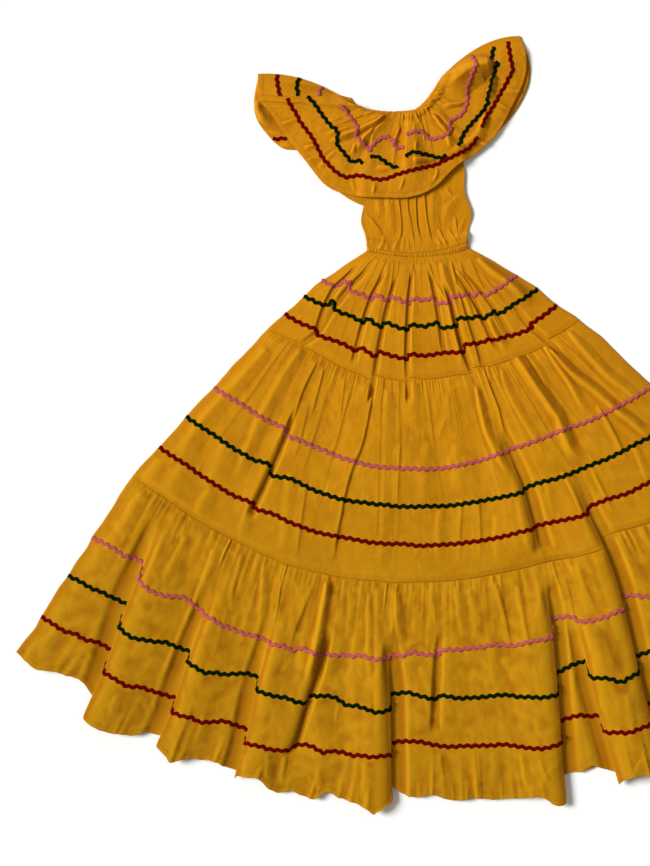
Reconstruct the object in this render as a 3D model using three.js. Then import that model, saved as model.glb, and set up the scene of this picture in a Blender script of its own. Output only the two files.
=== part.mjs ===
// An off-shoulder cotton dress laid flat on its back: a deep flounce round the neck, a gathered bodice,
// an elastic waist and a skirt of three gathered tiers, with rows of wavy braid.
// Millimetres. +X runs to the wearer's left, +Y to the neck, +Z up from the surface that the dress lies on.
// Every panel is a thin wall. The back panels lie flat, and the front panels lie on them.

import * as THREE from "three";

// A table with named columns
const table = (columns, rows) =>
  rows.map((row) => Object.fromEntries(columns.map((column, i) => [column, row[i]])));

// Driving sizes
const WALL = 1.2;
const CLEAR = 0.3;
const SEAM = 0.5;
const BRAID_WIDTH = 8;
const BRAID_HEIGHT = 0.8;
const CASING_THICKNESS = 3;
const CASING_HEIGHT = 4.4;
const CASING_RIPPLES = 18;
const CASING_RIM_DROP = 0.8;
const CASING_END_DROP = 0.6;
const CASING_SHOULDER = 0.2;
const PLAIN_CASING_STEPS = 16;
const RIPPLE_HEIGHT = 1.3;
const RIPPLE_SEED = 7;
const EDGE_FADE = 60;
const GATHER_START = 30;
const HEM_WAVE = 6;
const FOLD_FADE = 60;
const BACK_INSET = 3;
const BACK_HEM_RISE = 34;
const BACK_GRID = { rows: 4, columns: 14 };
const WAIST_PUFF = 3.4;
const SKIRT_PUFF = 2.2;

// A gather has two shoulders and a valley. Its sizes are shares of its pitch and of its tier's height.
const GATHER = {
  wander: 0.36,
  leastCrest: 0.55,
  mostCrest: 1.1,
  leastLean: 0.18,
  mostLean: 0.34,
  ridge: 0.46,
  farShoulder: 0.92,
};

// The dress is centred on its box by these two shifts.
const CENTRE_X = 0;
const CENTRE_Y = -4.8;

// Heights of the middle of a wall: on the surface, on one layer, on two and on three
const FLOOR_LAYER = WALL / 2;
const SECOND_LAYER = FLOOR_LAYER + WALL + CLEAR;
const THIRD_LAYER = SECOND_LAYER + WALL + CLEAR;
const FOURTH_LAYER = THIRD_LAYER + WALL + CLEAR;

// The places across the skirt, in eighths of its width, that the next table gives heights for
const EIGHTHS = [0, 1, 2, 4, 6, 7, 8];

// The skirt's front, one row for each seam or line of braid. down is the length of cloth below the waist on
// the centre line. y0 to y8 are the row's height on the page at its left end, at eighths of its width and at
// its right end.
const SKIRT_ROWS = table(["name", "down", "leftX", "rightX", "y0", "y1", "y2", "y4", "y6", "y7", "y8"], [
  ["waist", 0, -141, 51, 325, 320, 316, 313, 317, 323, 332],
  ["pink1", 83, -226, 144, 268, 256, 239, 230, 238, 249, 279],
  ["green1", 131, -262, 182, 238, 217, 194, 181, 198, 217, 253],
  ["red1", 187, -296, 220, 205, 167, 141, 125, 154, 175, 222],
  ["seam1", 232, -327, 262, 177, 141, 101, 81, 114, 142, 194],
  ["pink2", 402, -433, 403, 65, 2, -55, -89, -30, 10, 68],
  ["green2", 472, -486, 473, 10, -66, -127, -160, -103, -51, 13],
  ["red2", 545, -536, 528, -48, -133, -196, -233, -173, -116, -40],
  ["seam2", 615, -585, 581, -103, -198, -268, -302, -236, -173, -91],
  ["pink3", 751, -663, 659, -220, -332, -416, -439, -353, -294, -201],
  ["green3", 841, -711, 709, -294, -412, -498, -528, -458, -388, -274],
  ["red3", 930, -758, 758, -370, -498, -593, -618, -555, -479, -350],
  ["hem", 1027, -811, 811, -439, -570, -665, -714, -648, -549, -424],
]);

// The skirt's large folds, where the cloth laps over itself. A fold runs down the skirt, at the share of the
// row's width given at its start and at the hem. upper is the side that lies on top, 1 for the right and -1
// for the left, and lap is how far it reaches over, as a share of half. slip is how far the right side has
// been drawn up.
const FOLD_PLACE = ["name", "start", "full", "end", "topShare", "hemShare"];
const FOLD_SIZES = ["half", "lap", "lift", "slip", "upper"];
const SKIRT_FOLDS = table([...FOLD_PLACE, ...FOLD_SIZES], [
  ["far left", 620, 820, 1026, 0.055, 0.078, 26, 0.45, 13, -40, 1],
  ["left", 640, 900, 1026, 0.15, 0.158, 24, 0.45, 12, -26, 1],
  ["mid left", 660, 880, 1026, 0.246, 0.258, 24, 0.45, 12, -24, 1],
  ["centre", 640, 800, 1026, 0.42, 0.438, 26, 0.45, 13, 26, -1],
  ["pleat left edge", 617, 760, 1026, 0.668, 0.643, 26, 0.4, 14, 44, -1],
  ["pleat right edge", 617, 760, 1026, 0.692, 0.706, 24, 0.42, 14, -30, 1],
  ["right panel", 440, 660, 1026, 0.79, 0.766, 24, 0.45, 14, 24, -1],
  ["right", 640, 900, 1026, 0.848, 0.842, 24, 0.45, 12, 20, 1],
  ["far right", 620, 820, 1026, 0.945, 0.922, 26, 0.45, 13, 30, -1],
  ["upper crease", 300, 500, 550, 0.67, 0.668, 20, 0.34, 10, 10, -1],
]);

// How far across a fold its columns of points stand, as shares of half the fold
const FOLD_COLUMNS = [-1, -0.46, -0.2, 0.2, 0.46, 1];

// A fold's shape, in halves of its width, and how fast it sets in
const RISE_REACH = 0.75;
const RISE_TAIL = 3;
const SLIP_TAIL = 4;
const LAP_ONSET = 1.3;
const FOLD_START_WIDTH = 0.45;

// The tiers, with the pitch of their gathers half way down, the gathers' height and what is left of it at the
// foot. bends are extra rows of points.
const TIERS = table(["number", "top", "foot", "bends", "pitch", "peak", "rest", "seed"], [
  [1, "waist", "seam1", [], 25, 8.5, 1.5, 3],
  [2, "seam1", "seam2", [], 52, 8, 1, 11],
  [3, "seam2", "hem", [692], 72, 8, 5, 23],
]);

// The flounce's front, one row for each place along the neck. The shares say how far down the flounce the
// three lines of braid cross that row, and lift is how far the cloth stands up there half way down.
const FLOUNCE_ROWS = table(["neckX", "neckY", "hemX", "hemY", "pink", "green", "red", "lift"], [
  [-169, 616, -348, 661, 0.35, 0.6, 0.81, 0],
  [-163, 608, -346, 614, 0.36, 0.58, 0.78, 9],
  [-150, 598, -325, 589, 0.23, 0.49, 0.76, 5],
  [-139, 592, -294, 542, 0.2, 0.48, 0.75, 8],
  [-127, 586, -258, 496, 0.26, 0.52, 0.8, 9],
  [-112, 582, -215, 446, 0.36, 0.6, 0.81, 12],
  [-95, 579, -158, 428, 0.34, 0.52, 0.76, 6],
  [-76, 578, -101, 425, 0.38, 0.6, 0.76, 7],
  [-57, 579, -59, 426, 0.21, 0.47, 0.69, 14],
  [-41, 584, -15, 443, 0.28, 0.55, 0.7, 8],
  [-28, 594, 27, 483, 0.45, 0.73, 0.83, 10],
  [-18, 606, 68, 511, 0.42, 0.68, 0.83, 12],
  [-8, 618, 106, 547, 0.44, 0.63, 0.76, 8],
  [0, 631, 133, 595, 0.37, 0.65, 0.79, 11],
  [6, 644, 158, 650, 0.3, 0.58, 0.79, 8],
  [10, 656, 162, 694, 0.34, 0.62, 0.81, 6],
  [13, 667, 150, 733, 0.33, 0.66, 0.83, 0],
]);

// The flounce's two laps, placed by row number, with the same meaning as the skirt's folds
const FLOUNCE_FOLDS = [
  { name: "shoulder crease", row: 1.4, halfRows: 0.4, half: 13, lap: 0.45, lift: 8, upper: -1 },
  { name: "centre crease", row: 7.6, halfRows: 0.5, half: 18, lap: 0.45, lift: 11, upper: 1 },
];
const FLOUNCE_WAVES = 2;
const FLOUNCE_WAVE_HEIGHT = 3;
const FLOUNCE_EDGE_ROWS = 0.8;
const FLOUNCE_BOW = 9;
const FLOUNCE_WANDER = 0.3;
const FLOUNCE_SEED = 9;
const FLOUNCE_DRAPE_TOP = 0.2;
const FLOUNCE_DRAPE_HEM = 3.4;

// The shares of the flounce's depth where its folds start, how far they take to grow, how far its seam and
// its waves take to open, and the part of a half circle that its swell follows
const FLOUNCE_FOLD_START = 0.07;
const FLOUNCE_FOLD_GROWTH = 0.71;
const FLOUNCE_SEAM_SHARE = 0.25;
const FLOUNCE_WAVE_START = 0.2;
const SWELL_FROM = 0.15;
const SWELL_TO = 0.9;

// The flounce's back, which shows past the front at both sides and under its middle
const FLOUNCE_BACK_ROWS = table(["neckX", "neckY", "hemX", "hemY"], [
  [-168, 615, -347, 657],
  [-162, 607, -355, 613],
  [-150, 597, -351, 578],
  [-139, 591, -331, 547],
  [-127, 585, -301, 520],
  [-112, 581, -258, 510],
  [-95, 578, -205, 446],
  [-76, 577, -148, 411],
  [-57, 578, -90, 408],
  [-41, 583, -40, 412],
  [-28, 593, 8, 441],
  [-18, 605, 38, 490],
  [-8, 617, 68, 513],
  [0, 630, 112, 555],
  [6, 643, 143, 593],
  [9, 655, 166, 640],
  [12, 666, 168, 684],
  [12, 667, 151, 729],
]);

const FLOUNCE_BACK_GRID = { rows: 2, columns: 34 };
const FLOUNCE_BACK_START = 0.012;

// The neckline, outside the elastic casing
const NECKLINE = table(["x", "y"], [
  [-179, 626],
  [-170, 619],
  [-156, 609],
  [-144, 603],
  [-131, 597],
  [-114, 592],
  [-95, 590],
  [-75, 590],
  [-60, 591],
  [-47, 595],
  [-37, 603],
  [-27, 614],
  [-17, 627],
  [-9, 640],
  [-2, 651],
  [4, 661],
  [8, 671],
]);

// The bodice, from under the neck's casing to the waist's
const BODICE_ROWS = table(["leftX", "leftY", "midY", "rightX", "rightY"], [
  [-112, 576, 572, -38, 578],
  [-128, 520, 513, 14, 532],
  [-142, 462, 456, 38, 480],
  [-146, 418, 410, 44, 437],
  [-152, 382, 372, 57, 397],
  [-145, 358, 350, 52, 368],
  [-142, 344, 334, 50, 353],
]);

// Where the bodice's rows of points stand, by row number. It stops a little short of the waist's casing.
const BODICE_FRONT_STOPS = [0, 1, 2, 2.6, 3, 3.6, 4.3, 5];
const BODICE_BACK_STOPS = [0, 1, 2, 3.1, 3.5, 4, 5];
const BODICE_SEAM_ROWS = 0.03;
const BODICE_BACK_COLUMNS = 8;
const BODICE_BACK_INSET = 0.012;
const BODICE_EDGE = 0.125;
const BODICE_PLEATS = 9;
const BODICE_PLEAT = {
  height: 4,
  pressed: 0.2,
  leastCrest: 0.6,
  mostCrest: 1.1,
  firstShoulder: 0.3,
  secondShoulder: 0.72,
  seed: 5,
};

// Where the flounce covers the bodice's front, where its back's edge lies, and the length of a step up
const FLOUNCE_COVER_Y = 430;
const FLOUNCE_BACK_EDGE_Y = 370;
const STEP_LENGTH = 34;
const BODICE_MARGIN = 22;
const BODICE_RISE = 24;

const COLOURS = { cloth: 0xb67c0e, pink: 0xbc565c, green: 0x0c1e02, red: 0x6b0302 };
const BRAID_COLOURS = ["pink", "green", "red"];

const mix = (a, b, t) => a + (b - a) * t;
const clamp = (x) => Math.min(1, Math.max(0, x));
const smooth = (x) => clamp(x) ** 2 * (3 - 2 * clamp(x));
const counts = (items) => items.map((_, i) => i);

// A number from 0 to 1 that depends only on the count and the seed
function chance(count, seed) {
  const x = Math.sin(count * 12.9898 + seed * 78.233) * 43758.5453;
  return x - Math.floor(x);
}

// A smooth curve through values at rising places, straight beyond its ends
function smoothCurve(places, values) {
  const last = places.length - 1;
  const steps = places.slice(1).map((p, i) => p - places[i]);
  const slopes = steps.map((h, i) => (values[i + 1] - values[i]) / h);
  const tangents = values.map((_, i) => {
    if (i === 0) return slopes[0];
    if (i === last) return slopes[last - 1];
    return (slopes[i - 1] * steps[i] + slopes[i] * steps[i - 1]) / (steps[i - 1] + steps[i]);
  });
  return (x) => {
    if (x <= places[0]) return values[0] + tangents[0] * (x - places[0]);
    if (x >= places[last]) return values[last] + tangents[last] * (x - places[last]);
    let i = 0;
    while (x > places[i + 1]) i += 1;
    const t = (x - places[i]) / steps[i];
    const s = 1 - t;
    const start = values[i] * (1 + 2 * t) * s * s + values[i + 1] * t * t * (3 - 2 * t);
    return start + steps[i] * t * s * (tangents[i] * s - tangents[i + 1] * t);
  };
}

// Each named column of a table as a smooth curve over its rows
function curvesOf(rows, places = counts(rows)) {
  const names = Object.keys(rows[0]).filter((key) => key !== "name");
  return Object.fromEntries(names.map((key) => [key, smoothCurve(places, rows.map((row) => row[key]))]));
}

// A hump that is 1 half way along and 0 at both ends
const bow = (share) => 4 * share * (1 - share);

// A curve through two ends and the middle between them
const bowed = (share, start, middle, end) =>
  mix(start, end, share) + (middle - (start + end) / 2) * bow(share);

// The place of a fold's lapping: over its width the cloth moves back over itself, and its upper side rises.
function lapAt(reach, fold, amount) {
  const side = reach * fold.upper;
  const inside = Math.abs(reach) < 1;
  const shift = inside ? -fold.lap * fold.half * amount ** LAP_ONSET * Math.sin(Math.PI * reach) : 0;
  const rising = smooth((side + RISE_REACH) / (2 * RISE_REACH));
  const falling = 1 - smooth((side - 1) / RISE_TAIL);
  return { shift, lift: fold.lift * (1 - (1 - amount) ** 2) * rising * falling };
}

// Turns two grids of points into a closed wall. The grids have the same columns, and each its own rows.
function wallMesh(name, outer, inner, colour) {
  const columns = outer[0].length;
  const lastOuter = outer.length - 1;
  const lastInner = inner.length - 1;
  const positions = [...outer, ...inner].flat().flatMap((p) => [p.x, p.y, p.z]);
  const outerAt = (row, column) => row * columns + column;
  const innerAt = (row, column) => (outer.length + row) * columns + column;
  const faces = [];
  const quad = (a, b, c, d) => faces.push(a, b, c, a, c, d);
  for (let c = 0; c < columns - 1; c += 1) {
    for (let r = 0; r < lastOuter; r += 1)
      quad(outerAt(r, c), outerAt(r + 1, c), outerAt(r + 1, c + 1), outerAt(r, c + 1));
    for (let r = 0; r < lastInner; r += 1)
      faces.push(
        innerAt(r, c), innerAt(r + 1, c + 1), innerAt(r + 1, c),
        innerAt(r, c), innerAt(r, c + 1), innerAt(r + 1, c + 1),
      );
    quad(outerAt(0, c), outerAt(0, c + 1), innerAt(0, c + 1), innerAt(0, c));
    quad(outerAt(lastOuter, c), innerAt(lastInner, c), innerAt(lastInner, c + 1), outerAt(lastOuter, c + 1));
  }
  for (const column of [0, columns - 1]) {
    const flip = column === 0;
    let r = 0;
    let s = 0;
    while (r < lastOuter || s < lastInner) {
      const along = s === lastInner || (r < lastOuter && (r + 1) / lastOuter <= (s + 1) / lastInner);
      const next = along ? outerAt(r + 1, column) : innerAt(s + 1, column);
      const face = [outerAt(r, column), innerAt(s, column), next];
      faces.push(...(flip ? face : face.reverse()));
      if (along) r += 1;
      else s += 1;
    }
  }
  const geometry = new THREE.BufferGeometry();
  geometry.setAttribute("position", new THREE.Float32BufferAttribute(positions, 3));
  geometry.setIndex(faces);
  geometry.computeVertexNormals();
  const material = new THREE.MeshStandardMaterial({ color: colour, roughness: 0.85, metalness: 0 });
  const mesh = new THREE.Mesh(geometry, material);
  mesh.name = name;
  return mesh;
}

// The directions that stand on a grid of points. On the first and last row they stand upright on the seam.
function normalsOf(grid) {
  const last = grid.length - 1;
  return grid.map((row, r) =>
    row.map((_, c) => {
      const above = grid[Math.max(r - 1, 0)][c];
      const below = grid[Math.min(r + 1, last)][c];
      const left = row[Math.max(c - 1, 0)];
      const right = row[Math.min(c + 1, row.length - 1)];
      const down = below.clone().sub(above);
      const before = row[c].clone().sub(left).normalize();
      const after = right.clone().sub(row[c]).normalize();
      const normal = down.clone().cross(before.add(after)).normalize();
      if (r === 0 || r === last) {
        const level = new THREE.Vector3(down.x, down.y, 0).normalize();
        normal.addScaledVector(level, -normal.dot(level)).normalize();
      }
      return normal;
    }),
  );
}

const moved = (grid, normals, distance) =>
  grid.map((row, r) => row.map((p, c) => p.clone().addScaledVector(normals[r][c], distance)));

// A wall of even thickness round a grid of middle points
function clothWall(name, grid) {
  const normals = normalsOf(grid);
  const outer = moved(grid, normals, WALL / 2);
  const inner = moved(grid, normals, -WALL / 2);
  return { mesh: wallMesh(name, outer, inner, COLOURS.cloth), outer, normals };
}

// A line of braid on a wall: a low ridge over two neighbouring rows of the wall's own outer points
function braid(name, wall, row, colour) {
  const edges = [wall.outer[row], wall.outer[row + 1]];
  const stand = [wall.normals[row], wall.normals[row + 1]];
  const foot = moved(edges, stand, CLEAR);
  const ridge = foot[0].map((p, c) => {
    const middle = p.clone().add(foot[1][c]).multiplyScalar(0.5);
    return middle.addScaledVector(stand[0][c], BRAID_HEIGHT);
  });
  return wallMesh(name, [foot[0], ridge, foot[1]], foot, colour);
}

// The three lines of braid on a wall. The first one's upper edge is on the row that is given.
const threeBraids = (name, wall, firstRow) =>
  BRAID_COLOURS.map((key, i) => braid(`${name}_braid_${key}`, wall, firstRow + 2 * i, COLOURS[key]));

const skirt = curvesOf(SKIRT_ROWS, SKIRT_ROWS.map((row) => row.down));
const downOf = Object.fromEntries(SKIRT_ROWS.map((row) => [row.name, row.down]));
const skirtWidth = (down) => skirt.rightX(down) - skirt.leftX(down);

// The plain place of a point of the skirt, by its share of the width and its length below the waist
function skirtPlace(share, down) {
  const heights = EIGHTHS.map((eighth) => skirt[`y${eighth}`](down));
  const x = mix(skirt.leftX(down), skirt.rightX(down), share);
  return new THREE.Vector2(x, smoothCurve(EIGHTHS, heights)(share * 8));
}

function foldAmount(fold, down) {
  const fading = fold.end < downOf.hem ? 1 - smooth((down - fold.end) / FOLD_FADE) : 1;
  return smooth((down - fold.start) / (fold.full - fold.start)) * fading;
}

const foldShare = (fold, down) =>
  mix(fold.topShare, fold.hemShare, (down - fold.start) / (downOf.hem - fold.start));

// A fold is narrow where it starts, so that two folds can start side by side.
const foldHalf = (fold, down) =>
  fold.half * mix(FOLD_START_WIDTH, 1, clamp((down - fold.start) / (fold.full - fold.start)));

// 1 inside the skirt and 0 at its side edges, where the front lies down on the back
function skirtEdge(share, down) {
  const width = skirtWidth(down);
  return smooth((share * width) / EDGE_FADE) * smooth(((1 - share) * width) / EDGE_FADE);
}

// A point of the skirt's front. crest is 0 in the valley of a gather and about 1 on its ridge.
function skirtPoint(share, down, crest, tier) {
  let shift = 0;
  let lift = 0;
  let slip = 0;
  for (const fold of SKIRT_FOLDS) {
    const amount = foldAmount(fold, down);
    if (amount === 0) continue;
    const half = foldHalf(fold, down);
    const reach = ((share - foldShare(fold, down)) * skirtWidth(down)) / half;
    const lap = lapAt(reach, { ...fold, half }, amount);
    shift += lap.shift;
    lift += lap.lift;
    const nearby = 1 - smooth((Math.abs(reach) - 1) / SLIP_TAIL);
    slip += fold.slip * amount * (smooth(reach + 0.5) - 0.5) * nearby;
  }
  const pastBraid = smooth((down - downOf.red3) / (downOf.hem - downOf.red3));
  const reached = down - slip + (crest - 0.5) * HEM_WAVE * pastBraid;
  const place = skirtPlace(share, reached);
  const along = skirtPlace(share + 0.01, reached).sub(place).normalize();
  place.addScaledVector(along, shift);
  const begun = smooth((down - downOf[tier.top]) / GATHER_START);
  const fallen = smooth((down - downOf[tier.top] - GATHER_START) / (downOf[tier.foot] - downOf[tier.top]));
  const edge = skirtEdge(share, down);
  const puff = down < SEAM ? WAIST_PUFF : edge * mix(WAIST_PUFF, SKIRT_PUFF, smooth(down / downOf.seam1));
  const gathers = crest * begun * mix(tier.peak, tier.rest, fallen) * edge;
  return new THREE.Vector3(place.x, place.y, SECOND_LAYER + puff + lift + gathers);
}

// The columns of the gathers between two lines that run down a tier: for each gather two shoulders, and a
// valley before the next
function gatherColumns(tier, left, right, first) {
  const middle = (downOf[tier.top] + downOf[tier.foot]) / 2;
  const waves = Math.round(((right(middle) - left(middle)) * skirtWidth(middle)) / tier.pitch);
  const wander = (at, count) =>
    at === 0 || at === waves ? at : at + GATHER.wander * (chance(count, tier.seed) - 0.5);
  const columns = [];
  for (let wave = 0; wave < waves; wave += 1) {
    const count = first + wave + 1;
    const start = wander(wave, count);
    const stop = wander(wave + 1, count + 1);
    const crest = mix(GATHER.leastCrest, GATHER.mostCrest, chance(count, tier.seed + 1));
    const lean = mix(GATHER.leastLean, GATHER.mostLean, chance(count, tier.seed + 2));
    const stops = [{ at: lean, crest }, { at: lean + GATHER.ridge, crest: crest * GATHER.farShoulder }];
    if (wave < waves - 1) stops.push({ at: 1, crest: 0 });
    for (const line of stops) {
      const portion = mix(start, stop, line.at) / waves;
      columns.push({ share: (down) => mix(left(down), right(down), portion), crest: line.crest });
    }
  }
  return { columns, last: first + waves };
}

// The columns of a tier: its two edges, the columns of each of its folds, and the gathers between them
function tierColumns(tier) {
  const middle = (downOf[tier.top] + downOf[tier.foot]) / 2;
  const inTier = (fold) => fold.start < downOf[tier.foot] - SEAM && fold.end + FOLD_FADE > downOf[tier.top];
  const folds = SKIRT_FOLDS.filter(inTier).sort((a, b) => foldShare(a, middle) - foldShare(b, middle));
  const foldLine = (fold, reach) => (down) =>
    foldShare(fold, down) + (reach * foldHalf(fold, down)) / skirtWidth(down);
  const columns = [{ share: () => 0, crest: 0 }];
  let from = () => 0;
  let count = 0;
  for (const fold of [...folds, null]) {
    const gathers = gatherColumns(tier, from, fold ? foldLine(fold, -1) : () => 1, count);
    columns.push(...gathers.columns);
    count = gathers.last;
    if (!fold) break;
    for (const reach of FOLD_COLUMNS) columns.push({ share: foldLine(fold, reach), crest: 0 });
    from = foldLine(fold, 1);
  }
  columns.push({ share: () => 1, crest: 0 });
  return columns;
}

function tierFront(tier) {
  const top = downOf[tier.top] + SEAM / 2;
  const foot = downOf[tier.foot] - (tier.foot === "hem" ? 0 : SEAM / 2);
  const lines = BRAID_COLOURS.map((key) => downOf[`${key}${tier.number}`]);
  const braidEdges = lines.flatMap((down) => [down - BRAID_WIDTH / 2, down + BRAID_WIDTH / 2]);
  const downs = [top, top + GATHER_START, ...tier.bends, ...braidEdges, foot];
  const columns = tierColumns(tier);
  const grid = downs.map((down) =>
    columns.map(({ share, crest }) => skirtPoint(share(down), down, crest, tier)),
  );
  const wall = clothWall(`tier${tier.number}_front`, grid);
  return [wall.mesh, ...threeBraids(`tier${tier.number}`, wall, downs.length - 1 - braidEdges.length)];
}

// The back of a tier is the same shape, flat on the surface and just inside the front's edges.
function tierBack(tier) {
  const top = downOf[tier.top] + SEAM / 2;
  const foot = downOf[tier.foot] - (tier.foot === "hem" ? BACK_HEM_RISE : SEAM / 2);
  const grid = [];
  for (let r = 0; r <= BACK_GRID.rows; r += 1) {
    const down = mix(top, foot, r / BACK_GRID.rows);
    const inset = BACK_INSET / skirtWidth(down);
    const row = [];
    for (let c = 0; c <= BACK_GRID.columns; c += 1) {
      const place = skirtPlace(mix(inset, 1 - inset, c / BACK_GRID.columns), down);
      row.push(new THREE.Vector3(place.x, place.y, FLOOR_LAYER));
    }
    grid.push(row);
  }
  return clothWall(`tier${tier.number}_back`, grid).mesh;
}

const bodice = curvesOf(BODICE_ROWS);
const LAST_BODICE_ROW = BODICE_ROWS.length - 1;
const WAIST_ROW = LAST_BODICE_ROW - BODICE_SEAM_ROWS;

function bodicePlace(share, row) {
  const x = mix(bodice.leftX(row), bodice.rightX(row), share);
  return new THREE.Vector2(x, bowed(share, bodice.leftY(row), bodice.midY(row), bodice.rightY(row)));
}

// The step from the surface up onto the flounce's back: 0 below its edge and 1 above
const onFlounceBack = (place) => smooth((place.y - FLOUNCE_BACK_EDGE_Y) / STEP_LENGTH);

// The bodice's pleats run from under the flounce to the waist. Its edges lie flat on the back.
function bodiceFront() {
  const columns = [{ share: 0, crest: 0 }];
  for (let pleat = 0; pleat < BODICE_PLEATS; pleat += 1) {
    const crest = mix(BODICE_PLEAT.leastCrest, BODICE_PLEAT.mostCrest, chance(pleat, BODICE_PLEAT.seed));
    columns.push({ share: (pleat + BODICE_PLEAT.firstShoulder) / BODICE_PLEATS, crest });
    columns.push({ share: (pleat + BODICE_PLEAT.secondShoulder) / BODICE_PLEATS, crest });
    if (pleat < BODICE_PLEATS - 1) columns.push({ share: (pleat + 1) / BODICE_PLEATS, crest: 0 });
  }
  columns.push({ share: 1, crest: 0 });
  const grid = [...BODICE_FRONT_STOPS, WAIST_ROW].map((row) =>
    columns.map(({ share, crest }) => {
      const place = bodicePlace(share, row);
      const covered = smooth((place.y - FLOUNCE_COVER_Y) / STEP_LENGTH);
      const edge = smooth(share / BODICE_EDGE) * smooth((1 - share) / BODICE_EDGE);
      const atWaist = smooth(row - LAST_BODICE_ROW + 1);
      const layer = mix(SECOND_LAYER, THIRD_LAYER, onFlounceBack(place));
      const bed = mix(layer, SECOND_LAYER + WAIST_PUFF, atWaist);
      const height = BODICE_PLEAT.height * mix(1, BODICE_PLEAT.pressed, covered) * (1 - atWaist);
      return new THREE.Vector3(place.x, place.y, bed + crest * edge * height);
    }),
  );
  return clothWall("bodice_front", grid).mesh;
}

function bodiceBack() {
  const grid = [...BODICE_BACK_STOPS, WAIST_ROW].map((row) => {
    const line = [];
    for (let c = 0; c <= BODICE_BACK_COLUMNS; c += 1) {
      const place = bodicePlace(mix(BODICE_BACK_INSET, 1 - BODICE_BACK_INSET, c / BODICE_BACK_COLUMNS), row);
      const height = mix(FLOOR_LAYER, SECOND_LAYER, onFlounceBack(place));
      line.push(new THREE.Vector3(place.x, place.y, height));
    }
    return line;
  });
  return clothWall("bodice_back", grid).mesh;
}

// A casing is a flat band between two lines of points, with a rippled top where the elastic gathers it.
function casing(name, upper, lower, bottom, top, ripples) {
  const steps = ripples ? ripples * 2 : PLAIN_CASING_STEPS;
  const outer = [[], [], [], []];
  const inner = [[], []];
  for (let i = 0; i <= steps; i += 1) {
    const [from, to] = [upper(i / steps), lower(i / steps)];
    const across = (share, height) =>
      new THREE.Vector3(mix(from.x, to.x, share), mix(from.y, to.y, share), height);
    const ripple = ripples && i % 2 ? RIPPLE_HEIGHT * mix(0.5, 1, chance(i, RIPPLE_SEED)) : 0;
    const endDrop = i === 0 || i === steps ? CASING_END_DROP : 0;
    outer[0].push(across(0, top - CASING_RIM_DROP - endDrop));
    outer[1].push(across(CASING_SHOULDER, top + ripple - endDrop));
    outer[2].push(across(1 - CASING_SHOULDER, top + ripple - endDrop));
    outer[3].push(across(1, top - CASING_RIM_DROP - endDrop));
    inner[0].push(across(0, bottom));
    inner[1].push(across(1, bottom));
  }
  return wallMesh(name, outer, inner, COLOURS.cloth);
}

const flounce = curvesOf(FLOUNCE_ROWS);
const flounceHang = curvesOf(FLOUNCE_BACK_ROWS);
const neckline = curvesOf(NECKLINE);
const LAST_FLOUNCE_ROW = FLOUNCE_ROWS.length - 1;
const LAST_BACK_ROW = FLOUNCE_BACK_ROWS.length - 1;

// The flounce's shoulder lines, its first and last rows, bow upwards.
function flouncePlace(row, share) {
  const nearEnd = smooth(Math.max(1 - row, row - LAST_FLOUNCE_ROW + 1));
  return new THREE.Vector2(
    mix(flounce.neckX(row), flounce.hemX(row), share),
    mix(flounce.neckY(row), flounce.hemY(row), share) + FLOUNCE_BOW * nearEnd * bow(share),
  );
}

// How much of the bodice lies under a place: 1 inside its outline and 0 outside
const bodiceRowAt = smoothCurve(BODICE_ROWS.map((row) => -row.leftY), counts(BODICE_ROWS));
function overBodice(place) {
  const row = Math.max(0, Math.min(LAST_BODICE_ROW, bodiceRowAt(-place.y)));
  const left = (place.x - bodice.leftX(row) + BODICE_MARGIN) / BODICE_RISE;
  const right = (bodice.rightX(row) + BODICE_MARGIN - place.x) / BODICE_RISE;
  return smooth(left) * smooth(right);
}

// A point of the flounce's front, share being 0 at the neck and 1 at the hem
function flouncePoint(row, share, crest) {
  const along = flouncePlace(row + 0.02, share).sub(flouncePlace(row - 0.02, share)).normalize();
  const place = flouncePlace(row, share);
  let lift = 0;
  for (const fold of FLOUNCE_FOLDS) {
    const grown = smooth((share - FLOUNCE_FOLD_START) / FLOUNCE_FOLD_GROWTH);
    const lap = lapAt((row - fold.row) / fold.halfRows, fold, grown);
    place.addScaledVector(along, lap.shift);
    lift += lap.lift;
  }
  const ends = smooth(row / FLOUNCE_EDGE_ROWS) * smooth((LAST_FLOUNCE_ROW - row) / FLOUNCE_EDGE_ROWS);
  const swell = flounce.lift(row) * Math.sin(Math.PI * mix(SWELL_FROM, SWELL_TO, share));
  const hanging = mix(SECOND_LAYER, FOURTH_LAYER, overBodice(place));
  const bed = mix(FOURTH_LAYER, hanging, smooth(share / FLOUNCE_SEAM_SHARE));
  const draped = mix(FLOUNCE_DRAPE_TOP, FLOUNCE_DRAPE_HEM, share) * overBodice(place);
  const waves = crest * FLOUNCE_WAVE_HEIGHT * smooth(share / FLOUNCE_WAVE_START);
  return new THREE.Vector3(place.x, place.y, bed + draped + (swell + waves) * ends + lift);
}

function flounceColumns() {
  const columns = [{ row: 0, crest: 0 }];
  let from = 0;
  for (const fold of [...FLOUNCE_FOLDS, null]) {
    const to = fold ? fold.row - fold.halfRows : LAST_FLOUNCE_ROW;
    const waves = Math.max(1, Math.round(to - from)) * FLOUNCE_WAVES;
    for (let i = 1; i < waves; i += 1) {
      const at = i + FLOUNCE_WANDER * (chance(i, FLOUNCE_SEED) - 0.5);
      columns.push({ row: mix(from, to, at / waves), crest: i % 2 });
    }
    if (!fold) break;
    for (const reach of FOLD_COLUMNS) columns.push({ row: fold.row + reach * fold.halfRows, crest: 0 });
    from = fold.row + fold.halfRows;
  }
  columns.push({ row: LAST_FLOUNCE_ROW, crest: 0 });
  return columns;
}

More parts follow.
